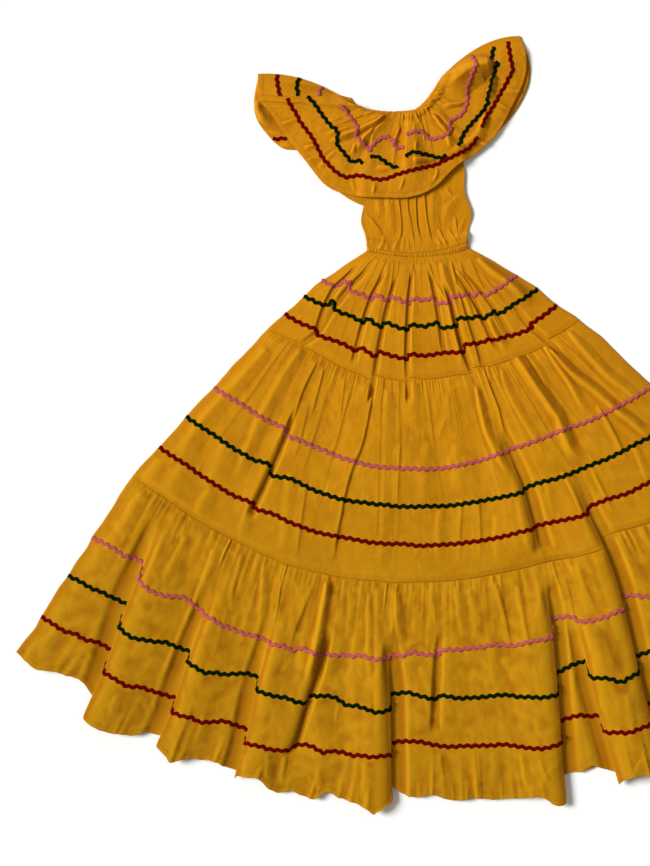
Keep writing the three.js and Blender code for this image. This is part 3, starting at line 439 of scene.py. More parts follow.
# The creases of the tiers, the flounce and the bodice: height, the width of the sloping side, and points of
# the crest on the page
CREASES = {
    "tier1": (
        (3.2, 38, (-169, 304), (-203, 260), (-232, 217), (-253, 175), (-270, 141)),
        (2.6, -27, (-131, 312), (-173, 256), (-200, 220), (-226, 171)),
        (3.2, -27, (-104, 310), (-127, 255), (-144, 201), (-162, 141)),
        (4.2, 23, (-99, 304), (-108, 255), (-120, 198), (-135, 127), (-146, 80)),
        (3.6, -19, (-89, 308), (-97, 251), (-104, 190), (-114, 133)),
        (2.4, -17, (-80, 308), (-86, 251), (-89, 190), (-95, 137)),
        (3.4, 34, (-68, 304), (-72, 232), (-70, 175), (-66, 118), (-63, 72)),
        (3.2, -23, (-53, 308), (-57, 251), (-55, 175), (-53, 99)),
        (3.4, -42, (-25, 308), (-11, 251), (-2, 184), (4, 125)),
        (8.5, 19, (0, 308), (13, 241), (23, 184), (36, 127), (48, 87)),
        (5.5, -13, (17, 310), (32, 251), (48, 190), (65, 137), (78, 84), (89, 38)),
        (3.4, -23, (34, 312), (51, 247), (74, 198), (95, 156), (116, 114)),
        (3.2, -23, (51, 315), (76, 260), (99, 201), (120, 160), (139, 122)),
        (28, 21, (66, 316), (87, 300), (104, 286), (122, 272), (139, 257), (156, 241), (177, 220)),
        (10, 12, (87, 201), (95, 184), (103, 167), (118, 146), (127, 133)),
        (2.6, -19, (70, 289), (103, 247), (135, 205), (165, 167)),
        (9, 9, (25, 291), (36, 279), (46, 262), (55, 243), (63, 222), (70, 200), (76, 180), (80, 158)),
        (7, 10, (-8, 258), (4, 240), (15, 222), (27, 203), (36, 186)),
        (7, 11, (27, 266), (38, 249), (49, 228), (57, 205), (63, 184)),
        (2.6, -15, (-180, 293), (-205, 260), (-234, 232)),
        (2.6, -17, (-116, 312), (-142, 262), (-165, 213)),
        (2.2, -15, (-40, 312), (-38, 266), (-34, 220)),
        (2.2, -15, (-13, 312), (0, 262), (10, 213)),
        (2.2, -15, (-150, 308), (-180, 277), (-211, 251)),
        (2.2, 17, (-70, 232), (-76, 175), (-82, 125)),
    ),
    "tier2": (
        (4.2, 30, (-327, 144), (-376, 91), (-418, 48), (-452, 4), (-481, -40), (-507, -91)),
        (3.6, 19, (-262, 144), (-294, 95), (-325, 42), (-348, -6), (-370, -57), (-390, -114)),
        (3.4, -27, (-234, 118), (-264, 57), (-283, -4), (-306, -48), (-327, -87)),
        (2.8, -30, (-321, -76), (-329, -110), (-346, -158), (-355, -190)),
        (2.8, -19, (-222, 106), (-236, 51), (-253, -10)),
        (4.2, -42, (-127, 72), (-148, -34), (-169, -87), (-182, -133), (-190, -171), (-201, -224),
         (-209, -274)),
        (4.2, -17, (-186, -156), (-198, -215), (-205, -266)),
        (2, -48, (-114, 65), (-116, -34), (-120, -148), (-124, -266)),
        (2.4, 23, (-101, 68), (-106, -53), (-110, -186), (-116, -294)),
        (3.4, 38, (-57, 80), (-55, 23), (-48, -27)),
        (1.8, -15, (-95, 70), (-97, -91)),
        (2.4, 23, (-142, 80), (-150, 23), (-160, -34)),
        (2, -23, (-182, 87), (-190, 23), (-196, -34)),
        (3, 38, (-484, -76), (-505, -110), (-519, -141)),
        (3, 30, (-534, -63), (-553, -91), (-570, -114)),
        (3, 27, (-433, -120), (-452, -154), (-466, -190)),
        (2.5, 19, (-353, -148), (-372, -186), (-386, -224)),
        (2, 23, (-287, -91), (-294, -186), (-306, -262)),
        (2, -27, (-255, -110), (-268, -205), (-276, -272)),
        (4, -19, (152, -110), (167, -158), (179, -205), (198, -274)),
        (1.8, 23, (13, 65), (17, -15)),
        (1.4, -15, (17, 27), (4, -6), (-8, -38)),
        (2, 17, (-2, -160), (-6, -215), (-4, -276)),
        (2, 17, (103, -171), (106, -234), (110, -285)),
        (2, 17, (146, -144), (158, -205), (173, -262)),
        (2, 17, (198, -103), (207, -148), (218, -190)),
        (2, -23, (70, -139), (74, -205), (72, -276)),
        (2, -19, (40, -139), (36, -205), (34, -276)),
        (2.4, 27, (-25, -30), (-32, -110), (-32, -190)),
        (2.2, -38, (-249, 42), (-268, -34), (-287, -91)),
        (2.4, 34, (-405, -34), (-431, -91), (-450, -141)),
        (2.2, -30, (-78, -34), (-82, -110), (-84, -186)),
        (2.2, 30, (27, -34), (32, -91), (40, -148)),
        (11, 19, (125, 152), (134, 139), (147, 118), (162, 95), (177, 72), (193, 49), (208, 27), (222, 6),
         (232, -23), (247, -53), (266, -80)),
        (9.5, 15, (203, 144), (215, 129), (234, 106), (256, 86), (287, 63), (310, 43), (334, 21), (357, 4),
         (380, -15), (407, -34)),
        (5, 15, (238, 175), (256, 155), (279, 129), (302, 103), (325, 82), (350, 63), (374, 44), (397, 27)),
        (5.5, 13, (194, 148), (203, 133), (217, 112), (238, 82), (256, 51), (268, 28), (277, 4)),
        (6, 13, (65, 72), (72, 38), (78, 11), (87, -23), (101, -53), (118, -84), (131, -114)),
        (3.6, -10, (78, 106), (93, 63), (108, 24), (117, -11), (132, -49), (150, -106), (169, -156),
         (188, -217), (200, -266)),
        (3.4, 15, (112, 106), (122, 72), (135, 42), (156, 6), (180, -34), (200, -72)),
        (3.2, 11, (158, 133), (173, 114), (188, 91), (201, 65), (213, 38)),
        (3, 11, (226, -91), (245, -122), (264, -160), (279, -201)),
        (4, -13, (294, 34), (314, 4), (334, -34), (352, -76)),
        (2.6, 11, (160, -122), (173, -163), (188, -217)),
        (2.6, -11, (287, -91), (310, -137), (329, -179)),
        (2.6, 11, (359, -34), (378, -76), (397, -122)),
        (2.6, 11, (139, 133), (148, 118), (158, 106)),
        (2.2, -10, (175, 137), (184, 125), (192, 114)),
        (2.4, -10, (99, 114), (106, 95), (112, 76)),
        (2.4, 10, (87, 114), (89, 95), (95, 72)),
    ),
    "tier3": (
        (3.0, 27, (-559, -125), (-591, -177), (-625, -234), (-642, -266)),
        (3.8, 19, (-481, -209), (-504, -262), (-530, -314)),
        (4.9, 23, (-428, -234), (-443, -291), (-462, -348), (-484, -405), (-511, -462), (-540, -509)),
        (3.0, -15, (-374, -243), (-390, -300), (-403, -367)),
        (3.0, 15, (-336, -266), (-340, -338), (-342, -410)),
        (2.3, -19, (-304, -285), (-308, -338), (-321, -414)),
        (3.0, -38, (-241, -306), (-262, -357), (-281, -405), (-291, -443)),
        (9.5, 18, (-216, -296), (-221, -338), (-230, -388), (-238, -426), (-244, -452), (-253, -503)),
        (3.8, 48, (-213, -319), (-224, -414), (-232, -490), (-236, -557), (-230, -623), (-220, -690)),
        (3.0, 15, (-137, -319), (-137, -414), (-135, -509)),
        (3.0, 23, (-120, -310), (-120, -433), (-116, -528), (-118, -614)),
        (3.8, 15, (-86, -315), (-84, -369), (-72, -426)),
        (3.8, 15, (-82, -452), (-78, -528), (-86, -600)),
        (2.3, 15, (27, -304), (34, -361), (42, -424)),
        (3.0, 19, (53, -310), (63, -361), (70, -424)),
        (3.4, -23, (101, -300), (112, -334), (124, -386), (135, -443)),
        (2.6, -15, (144, -300), (152, -348), (162, -405), (173, -452)),
        (2.3, -19, (255, -255), (268, -300), (283, -338), (296, -367)),
        (3.0, 19, (334, -234), (367, -296), (393, -338)),
        (2.3, -19, (-17, -312), (-13, -357), (-8, -405)),
        (1.9, 15, (-55, -312), (-51, -376), (-57, -429)),
        (1.9, 15, (-173, -315), (-173, -376), (-186, -429)),
        (2.3, 19, (-610, -509), (-623, -551)),
        (2.3, 19, (-724, -386), (-750, -424), (-770, -456)),
        (2.3, 19, (-657, -433), (-674, -475), (-686, -505)),
        (2.7, 15, (-543, -524), (-538, -551), (-534, -576)),
        (2.3, 15, (-376, -618), (-372, -673)),
        (2.7, -15, (-294, -627), (-300, -684)),
        (2.3, 15, (-329, -623), (-332, -690)),
        (3.4, 13, (-232, -627), (-230, -703)),
        (1.8, 19, (-180, -635), (-184, -709)),
        (1.8, 15, (-144, -635), (-146, -714)),
        (2.7, 11, (150, -627), (158, -665), (165, -707)),
        (1.8, -19, (184, -633), (198, -671), (211, -699)),
        (1.8, 19, (103, -619), (99, -699)),
        (1.8, -19, (-2, -623), (8, -699)),
        (2.3, 19, (-448, -551), (-458, -595), (-473, -623)),
        (2.3, -15, (-496, -475), (-488, -509), (-477, -540)),
        (1.9, 23, (-40, -456), (-21, -509), (-32, -559)),
        (2.3, 23, (112, -443), (135, -475), (142, -509)),
        (1.9, -19, (-192, -528), (-200, -576), (-192, -614)),
        (1.9, 19, (293, -509), (302, -551)),
        (2.3, 23, (274, -376), (298, -433), (314, -490)),
        (1.9, 23, (350, -509), (359, -557), (355, -614)),
    ),
    "flounce": (
        (8, 11, (-103, 584), (-114, 577), (-125, 569), (-141, 561), (-159, 553), (-173, 548), (-192, 541),
         (-222, 524)),
        (7, 14, (-124, 560), (-140, 545), (-149, 535), (-157, 521), (-160, 511)),
        (3.5, -17, (-132, 524), (-132, 536), (-130, 547), (-120, 559), (-108, 567), (-95, 578)),
        (3.5, 9, (-162, 534), (-165, 521), (-170, 505)),
        (4, 6, (-74, 565), (-79, 556), (-84, 545), (-89, 532), (-91, 519)),
        (2.5, 6, (-37, 572), (-36, 559), (-34, 547), (-30, 517)),
        (7.5, 11, (-20, 586), (-8, 573), (-2, 564), (9, 553), (18, 542)),
        (4, -11, (33, 557), (23, 559), (14, 563), (6, 571), (-2, 580), (-15, 586), (-30, 588)),
        (4.5, 15, (12, 548), (13, 534), (19, 515)),
        (6, 10, (48, 606), (30, 603), (13, 601), (-1, 599)),
        (17, 38, (100, 681), (74, 676), (65, 672), (48, 666), (41, 659), (28, 649), (11, 638), (-2, 629)),
        (4.5, 6, (47, 671), (32, 668), (18, 661), (4, 649)),
        (3.5, 6, (-5, 611), (-17, 610), (-28, 609)),
        (3.4, 5, (-12, 603), (-23, 598), (-36, 592)),
        (3.4, 6, (10, 618), (-3, 615), (-19, 610)),
        (3, 6, (11, 624), (-4, 623), (-17, 620)),
        (5.5, 13, (101, 661), (97, 642), (93, 627), (91, 612), (89, 598)),
        (9.5, 16, (-200, 626), (-215, 632), (-236, 638), (-264, 644), (-291, 647), (-314, 649)),
        (3.5, 6, (-175, 616), (-190, 621), (-209, 628)),
        (3.5, 6, (-158, 604), (-184, 611), (-207, 616)),
        (4, -6, (-194, 603), (-184, 594), (-176, 583)),
        (4.5, 9, (-232, 527), (-247, 523), (-263, 520)),
        (3, 6, (-234, 504), (-247, 499), (-259, 495)),
        (5.4, 9, (-6, 495), (-21, 497), (-40, 497), (-57, 496), (-70, 491)),
        (3.6, 11, (-88, 481), (-104, 482), (-125, 483)),
        (5, 17, (86, 589), (78, 566), (70, 547), (53, 530), (32, 519), (10, 504)),
        (2.5, -8, (-70, 469), (-74, 452), (-80, 433)),
        (2.5, -8, (-10, 486), (-8, 471), (-17, 450)),
        (2.5, -8, (-129, 456), (-127, 443), (-131, 429)),
        (2, 8, (-173, 464), (-167, 448), (-165, 433)),
        (2.5, 8, (-198, 517), (-218, 498), (-238, 477)),
        (2.4, 6, (-272, 575), (-289, 570), (-306, 565)),
        (2.4, 6, (-294, 611), (-314, 610), (-332, 604)),
        (2.4, -8, (106, 604), (125, 595), (135, 589)),
        (2.4, 8, (160, 629), (137, 627), (118, 631)),
        (2, 8, (66, 532), (89, 524), (97, 517)),
        (4, -8, (-53, 591), (-44, 574), (-38, 559)),
        (4, -6, (-73, 587), (-73, 570)),
        (3.6, 6, (-106, 588), (-120, 580), (-137, 572)),
        (3.6, 6, (-120, 591), (-135, 585), (-152, 580)),
        (3, 6, (-133, 595), (-148, 592), (-165, 591)),
        (2.6, 8, (-169, 559), (-196, 553), (-226, 543)),
        (2.4, 8, (-182, 578), (-201, 574), (-220, 573)),
        (3, 8, (-46, 536), (-49, 522), (-48, 511)),
    ),
    "flounce_back": (
        (9, 13, (-350, 614), (-348, 593), (-340, 578), (-323, 562)),
        (3.4, 6, (-294, 543), (-315, 549), (-334, 554)),
        (3.4, 6, (-272, 522), (-291, 526), (-308, 528)),
    ),
    "bodice": (
        (5, -17, (-65, 435), (-63, 403), (-57, 376), (-53, 348), (-49, 321)),
        (5, -19, (-49, 439), (-48, 403), (-46, 372), (-42, 357), (-36, 331)),
        (5.5, -17, (-34, 445), (-30, 407), (-27, 382), (-21, 353), (-15, 325)),
        (4, 19, (-19, 450), (-15, 416), (-17, 380), (-13, 352)),
        (4.5, -15, (-82, 429), (-78, 399), (-76, 372), (-78, 352), (-89, 323)),
        (5, 21, (-101, 429), (-97, 397), (-93, 369), (-97, 346)),
        (4, 17, (-120, 429), (-118, 407), (-114, 384)),
        (4.5, -17, (-152, 401), (-133, 384), (-120, 369), (-108, 348)),
        (4.5, 17, (51, 431), (28, 424), (15, 412), (10, 397), (2, 372)),
        (3.4, -11, (25, 395), (28, 378), (32, 350), (36, 332)),
        (4, -13, (10, 370), (23, 353), (34, 332)),
        (4.4, -11, (-8, 372), (2, 353), (15, 327)),
        (4.4, -11, (-10, 352), (4, 329)),
        (3, 11, (46, 390), (34, 361), (30, 340)),
        (4.4, 11, (-108, 355), (-112, 336), (-124, 321)),
        (4.4, 11, (-78, 353), (-86, 336), (-91, 321)),
        (3, 10, (-72, 355), (-72, 321)),
        (3, 10, (-101, 348), (-106, 321)),
        (3, 10, (-127, 352), (-133, 338), (-135, 321)),
        (3, -10, (-63, 355), (-61, 321)),
        (3, -10, (48, 363), (42, 336)),
        (3.4, -27, (6, 448), (21, 429), (40, 410)),
    ),
}
CREASE_STEP = 3.0
ROUND_SHARE = 0.8
# Painted shade on the sloping sides of creases: the crease height in millimetres where it begins, and the
# heights over which it grows to full
PAINTED_SHADE_FROM = 3
PAINTED_SHADE_RANGE = 5
CREASE_START = 14
CREASE_TAIL = 60


def curve_through(path, count):
    """So many points along the smooth curve through places on the page."""
    stops = np.linspace(0, len(path) - 1, count)
    return np.stack([curve_at(range(len(path)), [p[k] for p in path], stops) for k in (0, 1)], 1)


def creases_at(x, y, table):
    """The height of the creases in a table, on a grid of places on the page. To the left of the way along a
    crease's line the cloth slopes down evenly, over the millimetres given. To the right it goes down over
    ROUND_SHARE of them. Where they are negative it slopes down evenly to the right, and within CREASE_STEP on
    the left. The second grid is painted shade on the sloping side of a large crease: how far into its fold
    each place lies, from 0 to 1."""
    height, depth = np.zeros(x.shape), np.zeros(x.shape)
    for top, fall, *line in table:
        path = curve_through(line, 7 * (len(line) - 1) + 1)
        reach = abs(fall) + CREASE_STEP
        inside = (x > path[:, 0].min() - reach) & (x < path[:, 0].max() + reach)
        inside &= (y > path[:, 1].min() - reach) & (y < path[:, 1].max() + reach)
        if not inside.any():
            continue
        here, below = x[inside], y[inside]
        nearest, side, along = (np.full(here.shape, v) for v in (1e9, 0.0, 0.0))
        run = 0.0
        for (x1, y1), (x2, y2) in zip(path, path[1:]):
            length = math.hypot(x2 - x1, y2 - y1)
            ux, uy = (x2 - x1) / length, (y2 - y1) / length
            t = np.clip((here - x1) * ux + (below - y1) * uy, 0, length)
            away = np.hypot(here - x1 - t * ux, below - y1 - t * uy)
            closer = away < nearest
            turned = (below - y1) * ux - (here - x1) * uy
            nearest = np.where(closer, away, nearest)
            side = np.where(closer, np.sign(turned), side)
            along = np.where(closer, run + t, along)
            run += length
        place = nearest * side * np.sign(fall)
        wide = abs(fall) * mix(0.6, 1, smooth(along / 50))
        step = CREASE_STEP if fall < 0 else np.maximum(ROUND_SHARE * wide, CREASE_STEP)
        body = np.where(place > 0, np.clip(1 - place / wide, 0, 1), smooth(1 + place / step))
        fade = smooth(along / CREASE_START) * smooth((run - along) / min(CREASE_TAIL, run * 0.4))
        height[inside] = np.maximum(height[inside], top * body * fade)
        # Painted shade on the crease's sloping side, the more the taller the crease
        painted_fold_shade_here = np.clip((top - PAINTED_SHADE_FROM) / PAINTED_SHADE_RANGE, 0, 1) * smooth(place / 4) * smooth(body * 2.5) * fade
        depth[inside] = np.maximum(depth[inside], painted_fold_shade_here)
    return height, depth


def puckers(share, run, wide, count, height, reach, seed):
    """Small short ridges that rise from a seam into a panel that isn't gathered itself."""
    table = ((count, (0.35 / count, 0.9 / count), height, reach, 0.3 / count, False),)
    return gathers(share, run, 1.0, wide, table, seed)


def points_of(grid, row, column):
    """The points of a grid at places between its rows and columns."""
    row = np.clip(row, 0, grid.shape[0] - 1.001)
    column = np.clip(column, 0, grid.shape[1] - 1.001)
    r, c = row.astype(int), column.astype(int)
    down, across = (row - r)[..., None], (column - c)[..., None]
    upper = mix(grid[r, c], grid[r, c + 1], across)
    lower = mix(grid[r + 1, c], grid[r + 1, c + 1], across)
    return mix(upper, lower, down)


def normals_of(grid):
    down = np.gradient(grid, axis=0)
    across = np.gradient(grid, axis=1)
    normal = np.cross(down, across)
    return normal / np.maximum(np.linalg.norm(normal, axis=-1, keepdims=True), 1e-9)


def lowest_near(height, rows, columns):
    """The least height within so many rows and columns of each point."""
    for axis, reach in ((0, rows), (1, columns)):
        padded = np.concatenate([np.take(height, [0] * reach, axis), height,
                                 np.take(height, [-1] * reach, axis)], axis)
        stack = [np.take(padded, range(i, i + height.shape[axis]), axis) for i in range(2 * reach + 1)]
        height = np.min(stack, 0)
    return height


def blurred(height, reach):
    """The mean height within so many rows and columns of each point."""
    for axis in (0, 1):
        count = height.shape[axis]
        picked = [np.take(height, np.clip(np.arange(count) + i, 0, count - 1), axis)
                  for i in range(-reach, reach + 1)]
        height = np.mean(picked, 0)
    return height


def picks(count, step, kept=()):
    """Every so many of a grid's rows or columns, with the ends and those that have to be kept."""
    return sorted({*range(0, count, step), count - 1, *kept})


def grid_faces(rows, columns, flip):
    index = np.arange(len(rows) * len(columns)).reshape(len(rows), len(columns))
    a, b, c, d = index[:-1, :-1], index[1:, :-1], index[1:, 1:], index[:-1, 1:]
    order = (d, c, b, a) if flip else (a, b, c, d)
    faces = np.stack([part.ravel() for part in order], 1)
    return faces.tolist()


def evenly(path, step, *others):
    """Evenly spaced points along a path of points, and other values of its points there."""
    run = np.concatenate([[0], np.cumsum(np.linalg.norm(np.diff(path, axis=0), axis=1))])
    even = np.arange(0, run[-1], step)
    return [np.stack([np.interp(even, run, part[:, k]) for k in range(part.shape[1])], 1)
            for part in (path, *others)]


# HOLLOW_REACH and HOLLOW_DEPTH: the rows and columns around a point whose heights are averaged for painted
# shade, and how far below that mean a point lies for full shade, in millimetres
HOLLOW_REACH = 4
HOLLOW_DEPTH = 1.0
TRACE_REACH = 2.6
TRACE_SMOOTHING = 2


class Panel:
    """A sheet of cloth: its outer and inner grids of points, in millimetres. cut is the place of each point
    in the weave, and gathered says how finely the cloth is drawn in there. It also keeps painted shade for
    the
    colour: more where a point lies below the mean height around it, less on crests, with the painted shade
    that it is given added."""

    def __init__(self, name, base, height, cut, gathered, keep_columns=(), step=3, painted_dark=0.0):
        normals = normals_of(base)
        self.name, self.cut, self.gathered = name, cut, gathered
        lift = np.zeros(base.shape)
        lift[..., 2] = height
        self.outer = base + lift + normals * CLOTH / 2
        self.normals = normals_of(self.outer)
        lift[..., 2] = lowest_near(height, step, step)
        self.inner = base + lift - normals * CLOTH / 2
        self.rows = picks(base.shape[0], step)
        self.columns = picks(base.shape[1], step, keep_columns)
        self.painted_hollow_shade = np.clip((blurred(height, HOLLOW_REACH) - height) / HOLLOW_DEPTH, -1, 1) + painted_dark

    def mesh(self, material):
        high, wide = self.outer.shape[:2]
        first = high * wide
        faces = grid_faces(range(high), range(wide), False)
        faces += [[i + first for i in face] for face in grid_faces(self.rows, self.columns, True)]
        last_row, last_column = len(self.rows) - 1, len(self.columns) - 1

        def rim(places, outer_at, inner_at, flip):
            for i, (start, stop) in enumerate(zip(places, places[1:])):
                face = [outer_at(k) for k in range(start, stop + 1)] + [inner_at(i + 1), inner_at(i)]
                faces.append(face[::-1] if flip else face)

        def under(row, column):
            return first + row * len(self.columns) + column

        def on_both(outside, inside):
            """The values of all outer points, and then those of the inner points that are used."""
            shape = (-1, *outside.shape[2:])
            used = inside[np.ix_(self.rows, self.columns)]
            return np.concatenate([outside.reshape(shape), used.reshape(shape)])

        rim(self.columns, lambda k: k, lambda i: under(0, i), False)
        rim(self.columns, lambda k: (high - 1) * wide + k, lambda i: under(last_row, i), True)
        rim(self.rows, lambda k: k * wide, lambda i: under(i, 0), True)
        rim(self.rows, lambda k: k * wide + wide - 1, lambda i: under(i, last_column), False)
        points, cut = on_both(self.outer, self.inner), on_both(self.cut, self.cut)
        values = {
            "painted_hollow_shade": on_both(self.painted_hollow_shade, self.painted_hollow_shade),
            "gathered": on_both(self.gathered, self.gathered),
        }
        return cloth_object(self.name, points, faces, cut, values, material)

    def line(self, row_at, step):
        """Evenly spaced points along a line across the panel, and the directions that stand on them. row_at
        gives the line's row, between the grid's rows, for each of a list of columns."""
        column = np.arange(0, self.outer.shape[1] - 1, 0.2)
        row = row_at(column)
        return evenly(points_of(self.outer, row, column), step, points_of(self.normals, row, column))

    def trace(self, path, step):
        """Evenly spaced points on top of the panel along a path on the page, and the directions that stand on
        them."""
        points, stand = [], []
        for x, y in evenly(curve_through(path, 8 * len(path)), step)[0]:
            away = np.hypot(self.outer[..., 0] - x, self.outer[..., 1] - y)
            near = away < max(TRACE_REACH, 1.01 * away.min())
            top = self.outer[near][:, 2].max()
            points.append((x, y, top))
            stand.append(self.normals[near & (self.outer[..., 2] > top - TRACE_REACH)].mean(0))
        points, stand = np.array(points), np.array(stand)
        together = 2 * TRACE_SMOOTHING + 1
        for grid, first in ((points, 2), (stand, 0)):
            for k in range(first, 3):
                padded = np.pad(grid[:, k], TRACE_SMOOTHING, mode="edge")
                grid[:, k] = np.convolve(padded, np.ones(together), "valid") / together
        return points, stand / np.linalg.norm(stand, axis=1, keepdims=True)


def placed(points):
    """Millimetres of the cutting frame as metres of the part's frame."""
    return (np.asarray(points) + (CENTRE_X, CENTRE_Y, 0)) * MM


def cloth_object(name, points, faces, cut, values, material):
    mesh = bpy.data.meshes.new(name)
    mesh.from_pydata(placed(points).tolist(), [], faces)
    corners = np.zeros(len(mesh.loops), int)
    mesh.loops.foreach_get("vertex_index", corners)
    flat = mesh.uv_layers.new(name="cut")
    flat.data.foreach_set("uv", (cut * MM)[corners].astype(np.float32).ravel())
    for key, value in values.items():
        mesh.attributes.new(key, "FLOAT", "POINT").data.foreach_set("value", value.astype(np.float32))
    mesh.polygons.foreach_set("use_smooth", np.ones(len(faces), bool))
    mesh.materials.append(material)
    mesh.update()
    piece = bpy.data.objects.new(name, mesh)
    bpy.context.scene.collection.objects.link(piece)
    return piece


def spread(lengths, counts):
    """Places from 0 to 1 along a row of stretches, each with its own number of steps."""
    places = [np.linspace(a, b, n, endpoint=False) for a, b, n in zip(lengths, lengths[1:], counts)]
    return np.concatenate([*places, [lengths[-1]]])


# The tiers: the rows that each starts and ends at, its steps of points and the height of its crumples
TIERS = {
    # name: top, foot, steps across, steps down, crumple height, seed
    "tier1": ("waist", "seam1", 400, 96, 0.4, 31),
    "tier2": ("seam1", "seam2", 540, 128, 0.85, 47),
    "tier3": ("seam2", "hem", 540, 140, 1.15, 64),
}
SEAM_GROOVE = 0.2
SEAM_TUCK = 1.5
BRAID_PUCKERS = 34
BRAID_PUCKER_PITCH = 13
FOLD_STEPS = 22
TOP_CRUSH = 0.09
GATHER_SHADE_REACH = 110
SIDE_PRESS = 26
HEM_CORNER = 48
HEM_CORNER_RISE = 1.4
HEM_DEPTH = 10
EDGE_ROUND = 5


def tier_columns(top, foot, steps, down):
    """The shares of the width at which a tier's points stand, a row of them for each length down. They follow
    the large folds, where they stand closer together."""
    middle = (top + foot) / 2
    folds = [f for f in FOLDS if f.start < foot - 1 and f.end + FOLD_FADE > top]
    folds.sort(key=lambda f: f.share(middle))
    knots, counts, last = [np.zeros(down.shape)], [], 0.0
    for fold in folds:
        for side in (-1, 1):
            knots.append(fold.share(down) + side * fold.half_at(down) / skirt_width(down))
            here = fold.share(middle) + side * fold.half_at(middle) / skirt_width(middle)
            counts.append(FOLD_STEPS if side > 0 else max(2, round((here - last) * steps)))
            last = here
    knots.append(np.ones(down.shape))
    counts.append(max(2, round((1 - last) * steps)))
    places = spread(list(range(len(knots))), counts)
    knots = np.stack(knots, 1)
    index = np.minimum(places.astype(int), len(counts) - 1)
    share = mix(knots[:, index], knots[:, index + 1], places - index)
    starts = np.cumsum([0] + counts)
    kept = [c for i in range(len(folds)) for c in range(starts[2 * i + 1], starts[2 * i + 2] + 1)]
    return share, kept


def hem_wave(across, width, height):
    """How far the hem hangs down in its own small waves, in shares of HEM_WAVE."""
    near = np.minimum(across, width - across)
    waves = 0.7 * noise(across / 14, across * 0, 5) + 3.6 * noise(across / 38, across * 0 + 0.5, 6)
    waves = waves * (1 - CALM_SHARE * calm_at(across / width))
    corner = 1 - smooth(near / HEM_CORNER)
    return waves + 0.5 * (np.clip(height / 6, 0, 1.2) - 0.5) - HEM_CORNER_RISE * corner**2


def add_braid_puckers(lifted, name, share, down, width, seed):
    """Adds the small gathers along both edges of a tier's lines of braid."""
    for i, colour in enumerate(("pink", "green", "red")):
        braid = DOWN[colour + name[-1]]
        from_braid = down[:, 0] - braid
        for j, sign in enumerate((-1, 1)):
            part = np.flatnonzero((sign * from_braid > 0) & (np.abs(from_braid) < BRAID_PUCKERS))
            near = slice(part[0], part[-1] + 1)
            away = np.abs(down[near] - braid)
            count = int(width[near].mean() / BRAID_PUCKER_PITCH)
            table = ((count, (0.003, 0.008), (0.2, 1.1), (0.3, 0.9), 0.001, True),)
            lifted[near] += gathers(share[near], away, BRAID_PUCKERS, width[near], table, seed + 7 * i + j)


def tier_front(name, material):
    top_row, foot_row, steps, rows, crumpled, seed = TIERS[name]
    top, foot = DOWN[top_row], DOWN[foot_row]
    places = np.linspace(0, 1, rows + 1)
    is_hem = foot_row == "hem"
    run = (foot - top) * (places - TOP_CRUSH * np.sin(TURN * places))
    start = top - (0 if name == "tier1" else SEAM_TUCK)
    down = (start + run * (foot - start) / (foot - top))[:, None]
    share, kept = tier_columns(top, foot, steps, down[:, 0])
    down = np.broadcast_to(down, share.shape)
    inside = np.maximum(down - top, 0)
    from_foot = foot - down
    length = foot - top
    level, plain = skirt_point(share, down)
    width = skirt_width(down)
    across = share * width
    ridges = gathers(share, inside, length, width, GATHERS[name], seed)
    placed_creases, painted_fold_shade = creases_at(level[..., 0], level[..., 1], CREASES[name])
    ridges = np.maximum(ridges, PRESSED[name] * placed_creases)
    flow = share * skirt_width((top + foot) / 2)
    sizes_of_creases = CRUMPLE_SIZES if is_hem else CREASE_SIZES
    folds = crumpled * creased(flow, down, seed, sizes_of_creases) * smooth(inside / 25)
    billow = 0.8 * (1 + noise(flow / 95, down / 150, seed + 11)) * smooth(inside / 60)
    at_foot = 1 if is_hem else mix(SEAM_STAND, 1, smooth(from_foot / 14))
    lifted = np.zeros(share.shape)
    if is_hem:
        flutes = gathers(share, from_foot + 4, length, width, HEM_FLUTES, seed + 3)
        ridges = np.maximum(ridges, flutes)
    else:
        lifted = puckers(share, from_foot / length, width, 110, (0.2, 0.8), (0.03, 0.14), seed + 3)
    add_braid_puckers(lifted, name, share, down, width, seed)
    near_side = smooth(across / SIDE_PRESS) * smooth((width - across) / SIDE_PRESS)
    height = (ridges + folds + billow) * at_foot + lifted
    height = height * plain * near_side
    base, _ = skirt_point(share, down, hem_wave(across, width, height))
    edge = skirt_edge(share, down)
    groove = 1 - smooth(inside / 1.2) if name != "tier1" else 0
    groove = np.maximum(groove, 0 if is_hem else 0.5 * (1 - smooth(from_foot / 1.3))) + 0 * share
    tuck = 0.4 * (down < top)
    rounding = 1 - smooth(np.minimum(across, width - across) / EDGE_ROUND)
    base[..., 2] -= (SEAM_GROOVE * groove + tuck) * edge + 0.9 * rounding
    if is_hem:
        height = height + 0.2 * smooth((HEM_DEPTH - from_foot) / 2)
        height = height - 0.12 * np.exp(-((from_foot - HEM_DEPTH) / 1.6) ** 2)
    cut = np.stack([flow, down], -1)
    gathered = np.exp(-inside / GATHER_SHADE_REACH) + (0 if is_hem else 0.6 * np.exp(-from_foot / 25))
    # Painted shade for the colour: a thin line of shadow along the seam's groove, which is also pressed into
    # the cloth, and the shade on the sloping sides of large creases
    painted_dark = 1.2 * groove + PRESSED[name] * painted_fold_shade
    panel = Panel(name + "_front_cloth", base, np.maximum(height, 0), cut, gathered, kept, painted_dark=painted_dark)
    panel.downs = down[:, 0]
    return panel, panel.mesh(material)


